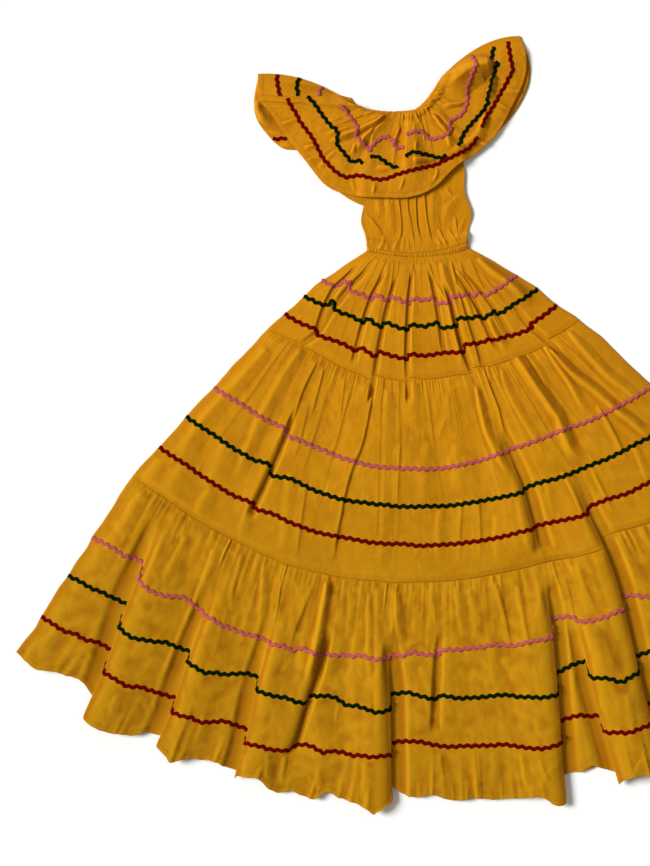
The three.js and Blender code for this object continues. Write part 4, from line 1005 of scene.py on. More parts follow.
def tier_back(name, material):
    """The back of a tier, flat on the surface and just inside the front's edges. Its gathers are low."""
    top_row, foot_row, steps, rows, _, seed = TIERS[name]
    top, foot = DOWN[top_row], DOWN[foot_row]
    across, down = np.meshgrid(np.linspace(0, 1, steps // 2), np.linspace(0, 1, rows // 2))
    rise = BACK_HEM_RISE * (1 - SLIVER_REACH * smooth(1 - np.abs(across - SLIVER_SHARE) / SLIVER_HALF))
    end = foot - (rise if foot_row == "hem" else 0)
    down = mix(top, end, down)
    inset = BACK_INSET / skirt_width(down)
    share = mix(inset, 1 - inset, across)
    x, y = skirt_place(share, down)
    width = skirt_width(down)
    height = BACK_RELIEF * gathers(share, down - top, foot - top, width, GATHERS[name], seed + 500)
    height += 0.6 * BACK_RELIEF * creased(share * width, down, seed + 501)
    room = skirt_edge(share, down) * smooth((down - top) / 30) * smooth((end - down) / 30)
    height = np.minimum(height, BACK_MOST) * room
    base = np.stack([x, y, np.full(x.shape, CLOTH / 2 + BRAID_BED)], -1)
    cut = np.stack([share * skirt_width(down), down], -1)
    panel = Panel(name + "_back_cloth", base, height, cut, np.exp(-(down - top) / GATHER_SHADE_REACH))
    return panel, panel.mesh(material)


# The bodice: for each row from the neck to the waist its two ends and its middle
BODICE_ROWS = {
    "left_x": (-112, -128, -142, -146, -152, -145, -142),
    "left_y": (576, 520, 462, 418, 382, 358, 344),
    "middle_y": (572, 513, 456, 410, 372, 350, 334),
    "right_x": (-38, 30, 44, 45, 58, 52, 50),
    "right_y": (578, 532, 480, 437, 397, 368, 353),
}
BODICE_STOPS = (0, 1, 2, 3, 4, 5, 6)
LAST_BODICE_ROW = 6
BODICE_SEAM_ROWS = 0.03
BODICE_OVER = 0.86
BODICE_OVER_RISE = 2.6
BODICE_EDGE = 0.125
FLOUNCE_COVER_Y = 430
FLOUNCE_BACK_EDGE_Y = 370
STEP_LENGTH = 34
SMALL_CREASES = ((20, 60, 8, 1.8), (14, 24, -25, 0.9), (9, 13, 35, 0.5))
BODICE_WIDTH = 190.0
BODICE_WEAVE_WIDTH = 560
BODICE_WEAVE_TOP = 600
BACK_SIDE = 0.012


def bodice_curve(name, row):
    return curve_at(BODICE_STOPS, BODICE_ROWS[name], row)


def bow(share):
    return 4 * share * (1 - share)


def bodice_place(share, row):
    left, right = bodice_curve("left_y", row), bodice_curve("right_y", row)
    y = mix(left, right, share) + (bodice_curve("middle_y", row) - (left + right) / 2) * bow(share)
    return mix(bodice_curve("left_x", row), bodice_curve("right_x", row), share), y


def on_flounce_back(y):
    """1 where the bodice lies on the flounce's back and 0 where it has come down from it."""
    return smooth((y - FLOUNCE_BACK_EDGE_Y) / STEP_LENGTH)


def bodice_front(material):
    share, row = np.meshgrid(np.linspace(0, 1, 260), np.linspace(0, LAST_BODICE_ROW + BODICE_OVER, 150))
    x, y = bodice_place(share, row)
    covered = smooth((y - FLOUNCE_COVER_Y) / STEP_LENGTH)
    edge = smooth(share / BODICE_EDGE) * smooth((1 - share) / BODICE_EDGE)
    at_waist = smooth(row - LAST_BODICE_ROW + 1)
    layer = mix(SECOND_LAYER, THIRD_LAYER, on_flounce_back(y))
    bed = mix(layer, SECOND_LAYER + WAIST_PUFF, at_waist)
    bed = bed + BODICE_OVER_RISE * smooth((row - LAST_BODICE_ROW + 0.7) / 0.5)
    height, painted_fold_shade = creases_at(x, y, CREASES["bodice"])
    height = 0.5 * height + 0.4 * creased(x, y, 91, SMALL_CREASES) * (1 - at_waist)
    from_waist = (LAST_BODICE_ROW + BODICE_OVER - row) / LAST_BODICE_ROW
    wide = np.full(x.shape, BODICE_WIDTH)
    height = np.maximum(height, puckers(share, from_waist, wide, 17, (0.5, 1.2), (0.1, 0.3), 93))
    height = np.maximum(height, puckers(share, from_waist, wide, 46, (0.4, 1.1), (0.06, 0.2), 97))
    bottom = smooth((LAST_BODICE_ROW + BODICE_OVER - row) / 0.16)
    height = height * mix(1, 0.2, covered) * edge * bottom
    bed = bed - 1.6 * (1 - bottom)
    base = np.stack([x, y, bed], -1)
    cut = np.stack([share * BODICE_WEAVE_WIDTH, BODICE_WEAVE_TOP - y], -1)
    gathered = np.full(x.shape, 0.4)
    panel = Panel("bodice_front_cloth", base, height, cut, gathered, painted_dark=0.35 * painted_fold_shade)
    return panel, panel.mesh(material)


def bodice_back(material):
    rows = np.linspace(0, LAST_BODICE_ROW - BODICE_SEAM_ROWS, 60)
    share, row = np.meshgrid(np.linspace(BACK_SIDE, 1 - BACK_SIDE, 80), rows)
    x, y = bodice_place(share, row)
    base = np.stack([x, y, mix(WALL / 2, SECOND_LAYER, on_flounce_back(y))], -1)
    height = 0.4 * creased(x, y, 95, SMALL_CREASES) * (1 - on_flounce_back(y))
    cut = np.stack([share * BODICE_WEAVE_WIDTH, BODICE_WEAVE_TOP - y], -1)
    panel = Panel("bodice_back_cloth", base, height, cut, np.full(x.shape, 0.7))
    return panel, panel.mesh(material)


# The flounce's front: for each place along the neck, a point of the seam, a point of the hem, and how far the
# cloth stands up
FLOUNCE_COLUMNS = ("neck_x", "neck_y", "hem_x", "hem_y", "lift")
FLOUNCE_ROWS = (
    (-171, 606, -348, 661, 0),
    (-164, 600, -346, 614, 9),
    (-151, 593, -325, 589, 5),
    (-139, 589, -294, 542, 8),
    (-127, 585, -258, 496, 9),
    (-112, 581, -215, 446, 12),
    (-95, 579, -158, 428, 6),
    (-76, 578, -101, 425, 7),
    (-57, 579, -59, 426, 14),
    (-41, 584, -15, 443, 8),
    (-28, 594, 27, 483, 10),
    (-18, 606, 68, 511, 12),
    (-8, 618, 106, 547, 8),
    (0, 631, 133, 595, 11),
    (6, 644, 158, 650, 8),
    (10, 656, 162, 694, 6),
    (13, 667, 150, 733, 0),
)
FLOUNCE_CREASES = (
    # row, half rows, half width, lap, lift, upper side, where along its depth it starts and dies out
    (1.16, 0.3, 9, 0.4, 2.5, -1, (0.4, 0.7), (2.0, 3.0)),
    (7.6, 0.45, 14, 0.4, 6, 1, (0.02, 0.24), (0.5, 0.74)),
)
LAST_FLOUNCE_ROW = len(FLOUNCE_ROWS) - 1
FLOUNCE_EDGE_ROWS = 0.8
FLOUNCE_OVER = 0.055
FLOUNCE_OVER_RISE = 3.6
FLOUNCE_BOW = 17
FLOUNCE_DRAPE_TOP = 0.2
FLOUNCE_DRAPE_HEM = 3.4
FLOUNCE_SEAM_SHARE = 0.25
FLOUNCE_SWELL = 0.7
SWELL_FROM = 0.15
SWELL_TO = 0.9
BODICE_MARGIN = 22
BODICE_RISE = 24

# The lines of braid on the flounce, in the stretches that its folds leave in sight, as places on the page
FLOUNCE_BRAIDS = {
    "pink": (
        ((-227, 637), (-231, 629), (-233, 616)),
        ((-193, 599), (-184, 593), (-175, 581), (-165, 568), (-159, 555), (-162, 545), (-157, 535),
          (-147, 527), (-142, 520), (-136, 515), (-130, 525), (-119, 534), (-106, 540), (-97, 537),
          (-90, 532), (-90, 523), (-84, 520), (-71, 520)),
        ((-66, 542), (-61, 546), (-49, 549), (-36, 549), (-29, 542), (-21, 535), (-2, 539), (12, 545),
          (18, 554), (14, 565), (20, 572), (33, 579), (42, 588), (48, 602), (49, 615), (48, 629), (53, 644),
          (57, 656), (62, 669), (65, 678), (59, 691), (56, 698)),
    ),
    "green": (
        ((-270, 654), (-274, 636), (-271, 617)),
        ((-255, 616), (-249, 612), (-239, 601), (-230, 588), (-220, 574), (-209, 561), (-201, 555),
          (-196, 545), (-198, 534), (-196, 523), (-189, 515), (-179, 503), (-170, 493), (-160, 495),
          (-154, 494), (-147, 489)),
        ((-135, 501), (-125, 503), (-114, 498), (-103, 490), (-94, 485), (-87, 482), (-81, 485)),
        ((-67, 500), (-62, 507), (-49, 510), (-38, 507), (-28, 506), (-18, 503), (-5, 500), (3, 501),
          (10, 506)),
        ((32, 522), (36, 530), (40, 542), (47, 553), (55, 563), (65, 574), (76, 586), (84, 598), (88, 606),
          (87, 613), (89, 621), (93, 634), (95, 647), (100, 659), (103, 672), (107, 679), (103, 684)),
        ((95, 687), (97, 699), (100, 713)),
    ),
    "red": (
        ((-312, 660), (-311, 642), (-306, 617)),
        ((-293, 613), (-285, 599), (-275, 584), (-269, 571), (-258, 556), (-247, 542), (-239, 528),
          (-231, 512), (-223, 498), (-212, 486), (-202, 476), (-192, 469), (-180, 464), (-163, 467),
          (-148, 466), (-135, 462), (-117, 459), (-100, 462), (-86, 468), (-68, 473), (-49, 478),
          (-27, 483), (-11, 487), (1, 493), (14, 499), (30, 507), (46, 515), (55, 522), (63, 531),
          (68, 542)),
        ((77, 557), (80, 568), (86, 580), (96, 595), (106, 612), (113, 625), (121, 638), (127, 651),
          (134, 663), (135, 673), (132, 685), (130, 699), (128, 712), (126, 723)),
    ),
}
BACK_BRAID = ((-320, 538), (-315, 537), (-306, 538), (-296, 539), (-288, 539))

# The flounce's back, which shows past the front at both sides and under its middle
FLOUNCE_BACK = {
    "neck_x": (-168, -162, -150, -139, -127, -112, -95, -76, -57, -41, -28, -18, -8, 0, 6, 9, 12, 12),
    "neck_y": (615, 607, 597, 591, 585, 581, 578, 577, 578, 583, 593, 605, 617, 630, 643, 655, 666, 667),
    "hem_x": (-347, -355, -351, -331, -301, -258, -205, -148, -90, -40, 8, 38, 68, 112, 143, 166, 168, 151),
    "hem_y": (657, 613, 578, 547, 520, 510, 446, 411, 408, 412, 441, 490, 513, 555, 593, 640, 684, 729),
}
LAST_BACK_ROW = len(FLOUNCE_BACK["neck_x"]) - 1

# The upper edge of the neck casing, at each place of the flounce's rows
NECKLINE_X = (-172, -165, -156, -144, -131, -114, -95, -75, -60, -47, -37, -27, -17, -9, -2, 5, 12)
NECKLINE_Y = (606, 602, 598, 595, 592, 590, 589, 590, 591, 595, 603, 614, 627, 640, 651, 660, 667)


def flounce_curve(name, row):
    index = FLOUNCE_COLUMNS.index(name)
    return curve_at(range(len(FLOUNCE_ROWS)), [line[index] for line in FLOUNCE_ROWS], row)


def flounce_place(row, share):
    near_end = smooth(np.maximum(1 - row, row - LAST_FLOUNCE_ROW + 1))
    x = mix(flounce_curve("neck_x", row), flounce_curve("hem_x", row), share)
    y = mix(flounce_curve("neck_y", row), flounce_curve("hem_y", row), share)
    return x, y + FLOUNCE_BOW * near_end * bow(share)


def over_bodice(x, y):
    """1 over the bodice and 0 outside it."""
    row = curve_at([-v for v in BODICE_ROWS["left_y"]], BODICE_STOPS, -y)
    row = np.clip(row, 0, LAST_BODICE_ROW)
    left = smooth((x - bodice_curve("left_x", row) + BODICE_MARGIN) / BODICE_RISE)
    return left * smooth((bodice_curve("right_x", row) + BODICE_MARGIN - x) / BODICE_RISE)


def flounce_point(row, share):
    """The middle of the flounce's front, and a mask that is 0 inside its creases."""
    x, y = flounce_place(row, share)
    x1, y1 = flounce_place(row - 0.02, share)
    x2, y2 = flounce_place(row + 0.02, share)
    length = np.maximum(np.hypot(x2 - x1, y2 - y1), 1e-6)
    shift, lift, plain = np.zeros(x.shape), np.zeros(x.shape), np.ones(x.shape)
    for at, half_rows, half, lap, height, upper, (first, full), (last, gone) in FLOUNCE_CREASES:
        fold = Fold((0, 0, 0, 0, 0, half, lap, height, 0, upper))
        amount = smooth((share - first) / (full - first)) * (1 - smooth((share - last) / (gone - last)))
        moved, raised = lap_at((row - at) / half_rows, half, fold, amount)
        shift, lift = shift + moved, lift + raised
        plain *= 1 - smooth(amount * 2) * (1 - smooth((np.abs(row - at) / half_rows - 1) / 0.5))
    x, y = x + shift * (x2 - x1) / length, y + shift * (y2 - y1) / length
    ends = smooth(row / FLOUNCE_EDGE_ROWS) * smooth((LAST_FLOUNCE_ROW - row) / FLOUNCE_EDGE_ROWS)
    swelling = np.sin(math.pi * mix(SWELL_FROM, SWELL_TO, np.maximum(share, 0)))
    swell = FLOUNCE_SWELL * flounce_curve("lift", row) * swelling
    over = over_bodice(x, y)
    hanging = mix(SECOND_LAYER, FOURTH_LAYER, over)
    bed = mix(FOURTH_LAYER, hanging, smooth(share / FLOUNCE_SEAM_SHARE))
    bed = bed + FLOUNCE_OVER_RISE * ends * (1 - smooth((share + 0.01) / 0.08))
    draped = mix(FLOUNCE_DRAPE_TOP, FLOUNCE_DRAPE_HEM, np.maximum(share, 0)) * over
    return np.stack([x, y, bed + draped + swell * ends + lift], -1), plain * ends


FLOUNCE_GATHERS = (
    (16, (0.03, 0.07), (1.0, 2.4), (0.6, 1.5), 0.012, True),
    (44, (0.012, 0.03), (1.4, 3.4), (0.1, 0.36), 0.008, True),
    (90, (0.005, 0.012), (0.9, 2.1), (0.06, 0.2), 0.003, True),
)
FLOUNCE_CREASES_SMALL = ((34, 40, 20, 2.0), (18, 26, -30, 1.3), (11, 15, 40, 0.7))


def flounce_front(material):
    places = [0.0]
    for at, half_rows, *_ in FLOUNCE_CREASES:
        places += [at - half_rows, at + half_rows]
    places.append(LAST_FLOUNCE_ROW)
    counts = [40, 24, 170, 26, 240]
    row = spread(places, counts)
    starts = np.cumsum([0] + counts)
    kept = [*range(starts[1], starts[2] + 1), *range(starts[3], starts[4] + 1)]
    share = np.linspace(0, 1, 124)
    share = mix(-FLOUNCE_OVER, 1, 0.6 * share + 0.4 * share**2)
    row, share = np.meshgrid(row, share)
    base, plain = flounce_point(row, share)
    x, y = base[..., 0], base[..., 1]
    depth = np.hypot(flounce_curve("hem_x", row) - flounce_curve("neck_x", row),
                     flounce_curve("hem_y", row) - flounce_curve("neck_y", row))
    inside, from_hem = (share + FLOUNCE_OVER) * depth, (1 - share) * depth
    around = row / LAST_FLOUNCE_ROW
    height = gathers(around, inside, 165, mix(250, 850, share), FLOUNCE_GATHERS, 71)
    placed_creases, painted_fold_shade = creases_at(x, y, CREASES["flounce"])
    height = np.maximum(height, placed_creases)
    height += creased(x, y, 73, FLOUNCE_CREASES_SMALL) * smooth(inside / 30)
    height *= smooth(inside / 3) * plain
    height = height + 0.12 * smooth((HEM_DEPTH - from_hem) / 2.5)
    cut = np.stack([around * 1500, inside], -1)
    gathered = np.exp(-inside / 60)
    panel = Panel("flounce_front_cloth", base, np.maximum(height, 0), cut, gathered, kept, painted_dark=0.8 * painted_fold_shade)
    return panel, panel.mesh(material)


def flounce_back(material):
    row, share = np.meshgrid(np.linspace(0, LAST_BACK_ROW, 180), np.linspace(BACK_SIDE, 1, 40))

    def curve(name):
        return curve_at(range(LAST_BACK_ROW + 1), FLOUNCE_BACK[name], row)

    x, y = mix(curve("neck_x"), curve("hem_x"), share), mix(curve("neck_y"), curve("hem_y"), share)
    base = np.stack([x, y, np.full(x.shape, CLOTH / 2 + BRAID_BED)], -1)
    placed_creases, painted_fold_shade = creases_at(x, y, CREASES["flounce_back"])
    height = placed_creases + 0.4 * creased(x, y, 83, SMALL_CREASES) * smooth(share * 8)
    cut = np.stack([row * 88, share * 170], -1)
    panel = Panel("flounce_back_cloth", base, height, cut, np.exp(-share * 3), painted_dark=1.4 * painted_fold_shade)
    return panel, panel.mesh(material)


def casing(name, upper, lower, bottom, thick, ripples, ripple_height, taper, seed, material):
    """A band of cloth round its elastic: arched across, and rippled along where the elastic draws it in.
    upper and lower give the points of its two edges. It narrows at both ends over a share taper of its
    length."""
    along, across = np.meshgrid(np.linspace(0, 1, ripples * 6 + 1), np.linspace(0, 1, 17))
    top_x, top_y = upper(along)
    foot_x, foot_y = lower(along)
    phase = along * ripples + 0.9 * noise(along * ripples / 2.4, across * 0.6, seed)
    size = 0.55 + 0.45 * noise(along * ripples / 1.7, across * 0.8, seed + 1)
    ripple = ripple_height * size * (1 - np.abs(np.sin(math.pi * phase)) ** 0.7)
    arch = np.sin(math.pi * mix(0.08, 0.92, across)) ** 0.6
    ends = smooth(along * 40) * smooth((1 - along) * 40)
    narrowed = smooth(along / taper) * smooth((1 - along) / taper)
    height = ripple * arch**0.5 * ends
    middle = (top_y + foot_y) / 2
    top_y, foot_y = mix(middle, top_y, narrowed), mix(middle, foot_y, narrowed)
    ruffled = CASING_RUFFLE * noise(along * ripples * 1.3, across * 0, seed + 2) * (across * 2 - 1)
    level = bottom + CLOTH / 2 + thick * arch * mix(0.5, 1, ends) * mix(0.1, 1, narrowed)
    base = np.stack([mix(top_x, foot_x, across), mix(top_y, foot_y, across) + ruffled, level], -1)
    cut = np.stack([along * ripples * 6, across * 20], -1)
    panel = Panel(name, base, np.maximum(height, 0), cut, np.full(along.shape, 0.6), step=2)
    return panel, panel.mesh(material)


def neck_upper(t):
    row = t * LAST_FLOUNCE_ROW
    stops = range(len(NECKLINE_X))
    return curve_at(stops, NECKLINE_X, row), curve_at(stops, NECKLINE_Y, row)


def neck_lower(t):
    return flounce_place(t * LAST_FLOUNCE_ROW, np.zeros(np.shape(t)))


def waist_upper(t):
    return bodice_place(t, np.full(np.shape(t), float(LAST_BODICE_ROW)))


def waist_lower(t):
    return skirt_place(t, np.zeros(np.shape(t)))


class Value:
    """A socket of a node tree. Arithmetic on it adds Math nodes."""

    def __init__(self, graph, socket):
        self.graph, self.socket = graph, socket

    def math(self, operation, *others):
        return self.graph.add("ShaderNodeMath", {"operation": operation}, dict(enumerate((self, *others))))

    def __add__(self, other):
        return self.math("ADD", other)

    def __sub__(self, other):
        return self.math("SUBTRACT", other)

    def __rsub__(self, other):
        return self.graph.add("ShaderNodeMath", {"operation": "SUBTRACT"}, {0: other, 1: self})

    def __mul__(self, other):
        return self.math("MULTIPLY", other)

    __radd__ = __add__
    __rmul__ = __mul__

    def clamped(self, low=0.0, high=1.0):
        return self.graph.add("ShaderNodeClamp", None, {"Value": self, "Min": low, "Max": high})


class Graph:
    """A node tree to add nodes to. add sets a node's settings, then its inputs, and gives one output."""

    def __init__(self, tree):
        self.tree = tree

    def place(self, kind, settings=None, inputs=None):
        node = self.tree.nodes.new(kind)
        for key, value in (settings or {}).items():
            setattr(node, key, value)
        for key, value in (inputs or {}).items():
            if isinstance(value, Value):
                self.tree.links.new(value.socket, node.inputs[key])
            else:
                node.inputs[key].default_value = value
        return node

    def add(self, kind, settings=None, inputs=None, output=0):
        return Value(self, self.place(kind, settings, inputs).outputs[output])

    def blend(self, factor, first, second, kind="MIX"):
        """One colour mixed into another."""
        settings = {"data_type": "RGBA", "blend_type": kind}
        return self.add("ShaderNodeMix", settings, {0: factor, 6: first, 7: second}, 2)

    def vector(self, operation, first, second, output=0):
        return self.add("ShaderNodeVectorMath", {"operation": operation}, {0: first, 1: second}, output)


def linear(red, green, blue):
    """A colour given as it shows on a screen, from 0 to 255, as the renderer's own values."""
    def one(x):
        x /= 255
        return x / 12.92 if x <= 0.04045 else ((x + 0.055) / 1.055) ** 2.4

    return one(red), one(green), one(blue), 1.0


def new_material(name):
    material = bpy.data.materials.new(name)
    material.use_nodes = True
    material.node_tree.nodes.clear()
    return material, Graph(material.node_tree)


def finish_material(graph, inputs, height, distance, strength=1.0):
    bump = graph.add("ShaderNodeBump", None, {"Height": height, "Distance": distance, "Strength": strength})
    shader = graph.add("ShaderNodeBsdfPrincipled", None, {**inputs, "Normal": bump})
    graph.place("ShaderNodeOutputMaterial", None, {"Surface": shader})


# The cotton's own colour; painted light from orange up the page to olive below; painted shade near the hem; a
# shade brown
COTTON_LIT = linear(198, 136, 12)
COTTON_PAINTED_TOP_LIGHT = linear(200, 128, 10)
COTTON_PAINTED_LOW_LIGHT = linear(184, 132, 10)
COTTON_PAINTED_HEM_SHADE = linear(172, 122, 8)
COTTON_MOTTLE_AND_SHADE = linear(146, 78, 0)
SHEEN_TINT = (1.0, 0.72, 0.3, 1.0)
THREAD_PITCH = 0.00045
RIB_PITCH = 0.0013
COTTON_BUMP = 0.0009
BRAID_BUMP = 0.0004

# The patterns of the cotton and the braid, in cells to a metre
GATHER_LINES = 170.0
FINE_GATHER_LINES = 420.0
CRINKLES = 60.0
SLUBS = 900.0
FUZZ = 900.0
ALONG_GATHERS = (1.0, 0.13, 1.0)
ALONG_THREADS = (0.1, 1.0, 1.0)


def cotton_material():
    """Plain woven cotton, crinkled in fine lines where it is gathered. Its colour carries painted light that
    falls off down the page, painted shade towards the hem, and painted shade in hollows, seams, the sloping
    sides of large creases and the fine gather lines, with crests painted a little lighter.
    """
    material, graph = new_material("golden_cotton")
    cut = graph.add("ShaderNodeUVMap", {"uv_map": "cut"})
    parts = graph.place("ShaderNodeSeparateXYZ", None, {0: cut})
    across, down = Value(graph, parts.outputs[0]), Value(graph, parts.outputs[1])
    place = graph.add("ShaderNodeTexCoord", None, None, "Object")
    height_on_page = graph.add("ShaderNodeSeparateXYZ", None, {0: place}, 1)
    painted_hollow_shade = graph.add("ShaderNodeAttribute", {"attribute_name": "painted_hollow_shade"}, None, "Fac")
    gathered = graph.add("ShaderNodeAttribute", {"attribute_name": "gathered"}, None, "Fac")

    def grain(scale, detail, where=cut):
        return graph.add("ShaderNodeTexNoise", None, {"Vector": where, "Scale": scale, "Detail": detail})

    stretched = graph.vector("MULTIPLY", cut, ALONG_GATHERS)
    lines = grain(GATHER_LINES, 3.0, stretched)
    fine_lines = grain(FINE_GATHER_LINES, 2.0, stretched)
    crinkle = grain(CRINKLES, 4.0)
    weave = (across * (TURN / THREAD_PITCH)).math("SINE") * (down * (TURN / THREAD_PITCH)).math("SINE")
    slubs = grain(SLUBS, 1.0, graph.vector("MULTIPLY", cut, ALONG_THREADS))
    # Painted light: the colour goes from olive low on the page to orange at the top, as light that falls off
    # downwards
    painted_light_falloff = (height_on_page * 1.1 + 0.5).clamped()
    base = graph.blend(painted_light_falloff, COTTON_PAINTED_LOW_LIGHT, COTTON_PAINTED_TOP_LIGHT)
    base = graph.blend(0.35, base, COTTON_LIT)
    # Painted shade: the cloth darkens from 450 mm below the waist towards the hem
    base = graph.blend(((down - 0.45) * 1.3).clamped(0.0, 0.7), base, COTTON_PAINTED_HEM_SHADE)
    # The brown that random mottle goes towards, and painted shade: in hollows, seams and creases and along
    # the fine gather lines near seams; crests are painted a little lighter
    mottled = (grain(9.0, 3.0) - 0.5) * 0.55 + (grain(70.0, 2.0) - 0.5) * 0.25 + 0.16
    mottle_and_painted_shade = (mottled + painted_hollow_shade * 0.42 + gathered * (0.5 - lines) * 0.6).clamped(0.0, 0.8)
    base = graph.blend(mottle_and_painted_shade, base, COTTON_MOTTLE_AND_SHADE)
    height = gathered * (lines * 0.9 + fine_lines * 0.4) + crinkle * 1.3 + weave * 0.03 + slubs * 0.02
    rough = grain(40.0, 2.0) * 0.1 + 0.78
    inputs = {"Base Color": base, "Roughness": rough, "Sheen Weight": 0.1, "Sheen Roughness": 0.45,
              "Sheen Tint": SHEEN_TINT, "Specular IOR Level": 0.2, "Specular Tint": SHEEN_TINT}
    finish_material(graph, inputs, height, COTTON_BUMP)
    return material


def braid_material(name, colour, paler_colour):
    """Braid woven in fine slanting ribs and strands, painted a little paler where they stand up: a painted
    highlight on the weave, with random fuzz in its tone.
    """
    material, graph = new_material(name)
    along = graph.add("ShaderNodeAttribute", {"attribute_name": "along"}, None, "Fac")
    across = graph.add("ShaderNodeAttribute", {"attribute_name": "across"}, None, "Fac")
    ribs = ((along * (TURN / RIB_PITCH)) + across * 5.0).math("SINE")
    strands = (across * 21.0).math("SINE")
    place = graph.add("ShaderNodeTexCoord", None, None, "Object")
    fuzz = graph.add("ShaderNodeTexNoise", None, {"Vector": place, "Scale": FUZZ, "Detail": 2.0})
    # Painted highlight: the tone goes paler where the ribs and strands stand up in the bump, with random fuzz
    shade = (ribs * 0.12 + strands * 0.08 + fuzz * 0.5).clamped()
    base = graph.blend(shade, colour, paler_colour)
    rough = fuzz * 0.2 + 0.6
    inputs = {"Base Color": base, "Roughness": rough, "Specular IOR Level": 0.1, "Specular Tint": paler_colour}
    finish_material(graph, inputs, ribs * 0.5 + strands * 0.5 + fuzz * 0.4, BRAID_BUMP)
    return material


def floor_material():
    material, graph = new_material("studio_floor")
    place = graph.add("ShaderNodeTexCoord", None, None, "Object")
    fine = graph.add("ShaderNodeTexNoise", None, {"Vector": place, "Scale": 3.0, "Detail": 1.0})
    base = graph.blend(fine * 0.02, FLOOR_COLOUR, FLOOR_SHADE)
    finish_material(graph, {"Base Color": base, "Roughness": 0.9, "Specular IOR Level": 0.1}, fine, 0.0001)
    return material


def node_tree(name, sizes):
    """A geometry tree with a geometry input, the named sizes and a material."""
    tree = bpy.data.node_groups.new(name, "GeometryNodeTree")
    face = tree.interface
    face.new_socket("Geometry", in_out="INPUT", socket_type="NodeSocketGeometry")
    face.new_socket("Geometry", in_out="OUTPUT", socket_type="NodeSocketGeometry")
    for size in sizes:
        face.new_socket(size, in_out="INPUT", socket_type="NodeSocketFloat")
    face.new_socket("Material", in_out="INPUT", socket_type="NodeSocketMaterial")
    graph = Graph(tree)
    given = graph.place("NodeGroupInput")
    return tree, graph, {socket.name: Value(graph, socket) for socket in given.outputs if socket.name}


def end_tree(graph, shape, given):
    real = graph.add("GeometryNodeRealizeInstances", None, {0: shape})
    shown = graph.add("GeometryNodeSetMaterial", None, {"Geometry": real, "Material": given["Material"]})
    graph.place("NodeGroupOutput", None, {0: shown})


def standing_curve(graph, given):
    """The path as a curve whose normals are the directions that stand on the cloth."""
    curve = graph.add("GeometryNodeMeshToCurve", None, {"Mesh": given["Geometry"]})
    stand = graph.add("GeometryNodeInputNamedAttribute", {"data_type": "FLOAT_VECTOR"}, {"Name": "stand"})
    turned = graph.add("GeometryNodeSetCurveNormal", {"mode": "FREE"}, {"Curve": curve, "Normal": stand})
    return turned, stand


def kept(graph, shape, name, kind, value):
    """Keeps a value on each point under a name."""
    settings = {"data_type": kind, "domain": "POINT"}
    inputs = {"Geometry": shape, "Name": name, "Value": value}
    return graph.add("GeometryNodeStoreNamedAttribute", settings, inputs)


def braid_tree():
    """Wavy braid: a flat woven tape along the path, swung from side to side in even waves."""
    tree, graph, given = node_tree("wavy_braid", ("Width", "Thickness", "Swing", "Wave"))
    curve, stand = standing_curve(graph, given)
    tangent = graph.add("GeometryNodeInputTangent")
    side = graph.vector("NORMALIZE", graph.vector("CROSS_PRODUCT", stand, tangent), (0, 0, 0))
    run = graph.add("GeometryNodeSplineParameter", None, None, "Length")
    curve = kept(graph, curve, "side", "FLOAT_VECTOR", side)
    curve = kept(graph, curve, "along", "FLOAT", run)
    ring = graph.add("GeometryNodeCurvePrimitiveCircle", None, {"Resolution": 6, "Radius": 1.0})
    at = graph.add("GeometryNodeInputPosition")
    across = graph.add("ShaderNodeSeparateXYZ", None, {0: at}, 1)
    ring = kept(graph, ring, "across", "FLOAT", across)
    halves = {0: given["Thickness"] * 0.5, 1: given["Width"] * 0.5, 2: 1.0}
    size = graph.add("ShaderNodeCombineXYZ", None, halves)
    ring = graph.add("GeometryNodeTransform", None, {"Geometry": ring, "Scale": size})
    inputs = {"Curve": curve, "Profile Curve": ring, "Fill Caps": True}
    tape = graph.add("GeometryNodeCurveToMesh", None, inputs)
    side = graph.add("GeometryNodeInputNamedAttribute", {"data_type": "FLOAT_VECTOR"}, {"Name": "side"})
    run = graph.add("GeometryNodeInputNamedAttribute", {"data_type": "FLOAT"}, {"Name": "along"})
    wave = (run * TURN).math("DIVIDE", given["Wave"]).math("SINE") * given["Swing"]
    offset = graph.add("ShaderNodeVectorMath", {"operation": "SCALE"}, {0: side, "Scale": wave})
    tape = graph.add("GeometryNodeSetPosition", None, {"Geometry": tape, "Offset": offset})
    end_tree(graph, tape, given)
    return tree


def stitch_tree():
    """A line of small straight stitches along the path."""
    tree, graph, given = node_tree("sewn_line", ("Pitch", "Length", "Thickness"))
    curve, _ = standing_curve(graph, given)
    inputs = {"Curve": curve, "Length": given["Pitch"]}
    dots = graph.place("GeometryNodeCurveToPoints", {"mode": "LENGTH"}, inputs)
    bead = graph.add("GeometryNodeMeshUVSphere", None, {"Segments": 6, "Rings": 4, "Radius": 0.5})
    extents = {0: given["Thickness"], 1: given["Thickness"], 2: given["Length"]}
    size = graph.add("ShaderNodeCombineXYZ", None, extents)
    bead = graph.add("GeometryNodeTransform", None, {"Geometry": bead, "Scale": size})
    placed_beads = graph.add("GeometryNodeInstanceOnPoints", None, {
        "Points": Value(graph, dots.outputs["Points"]),
        "Instance": bead,
        "Rotation": Value(graph, dots.outputs["Rotation"]),
    })
    end_tree(graph, placed_beads, given)
    return tree


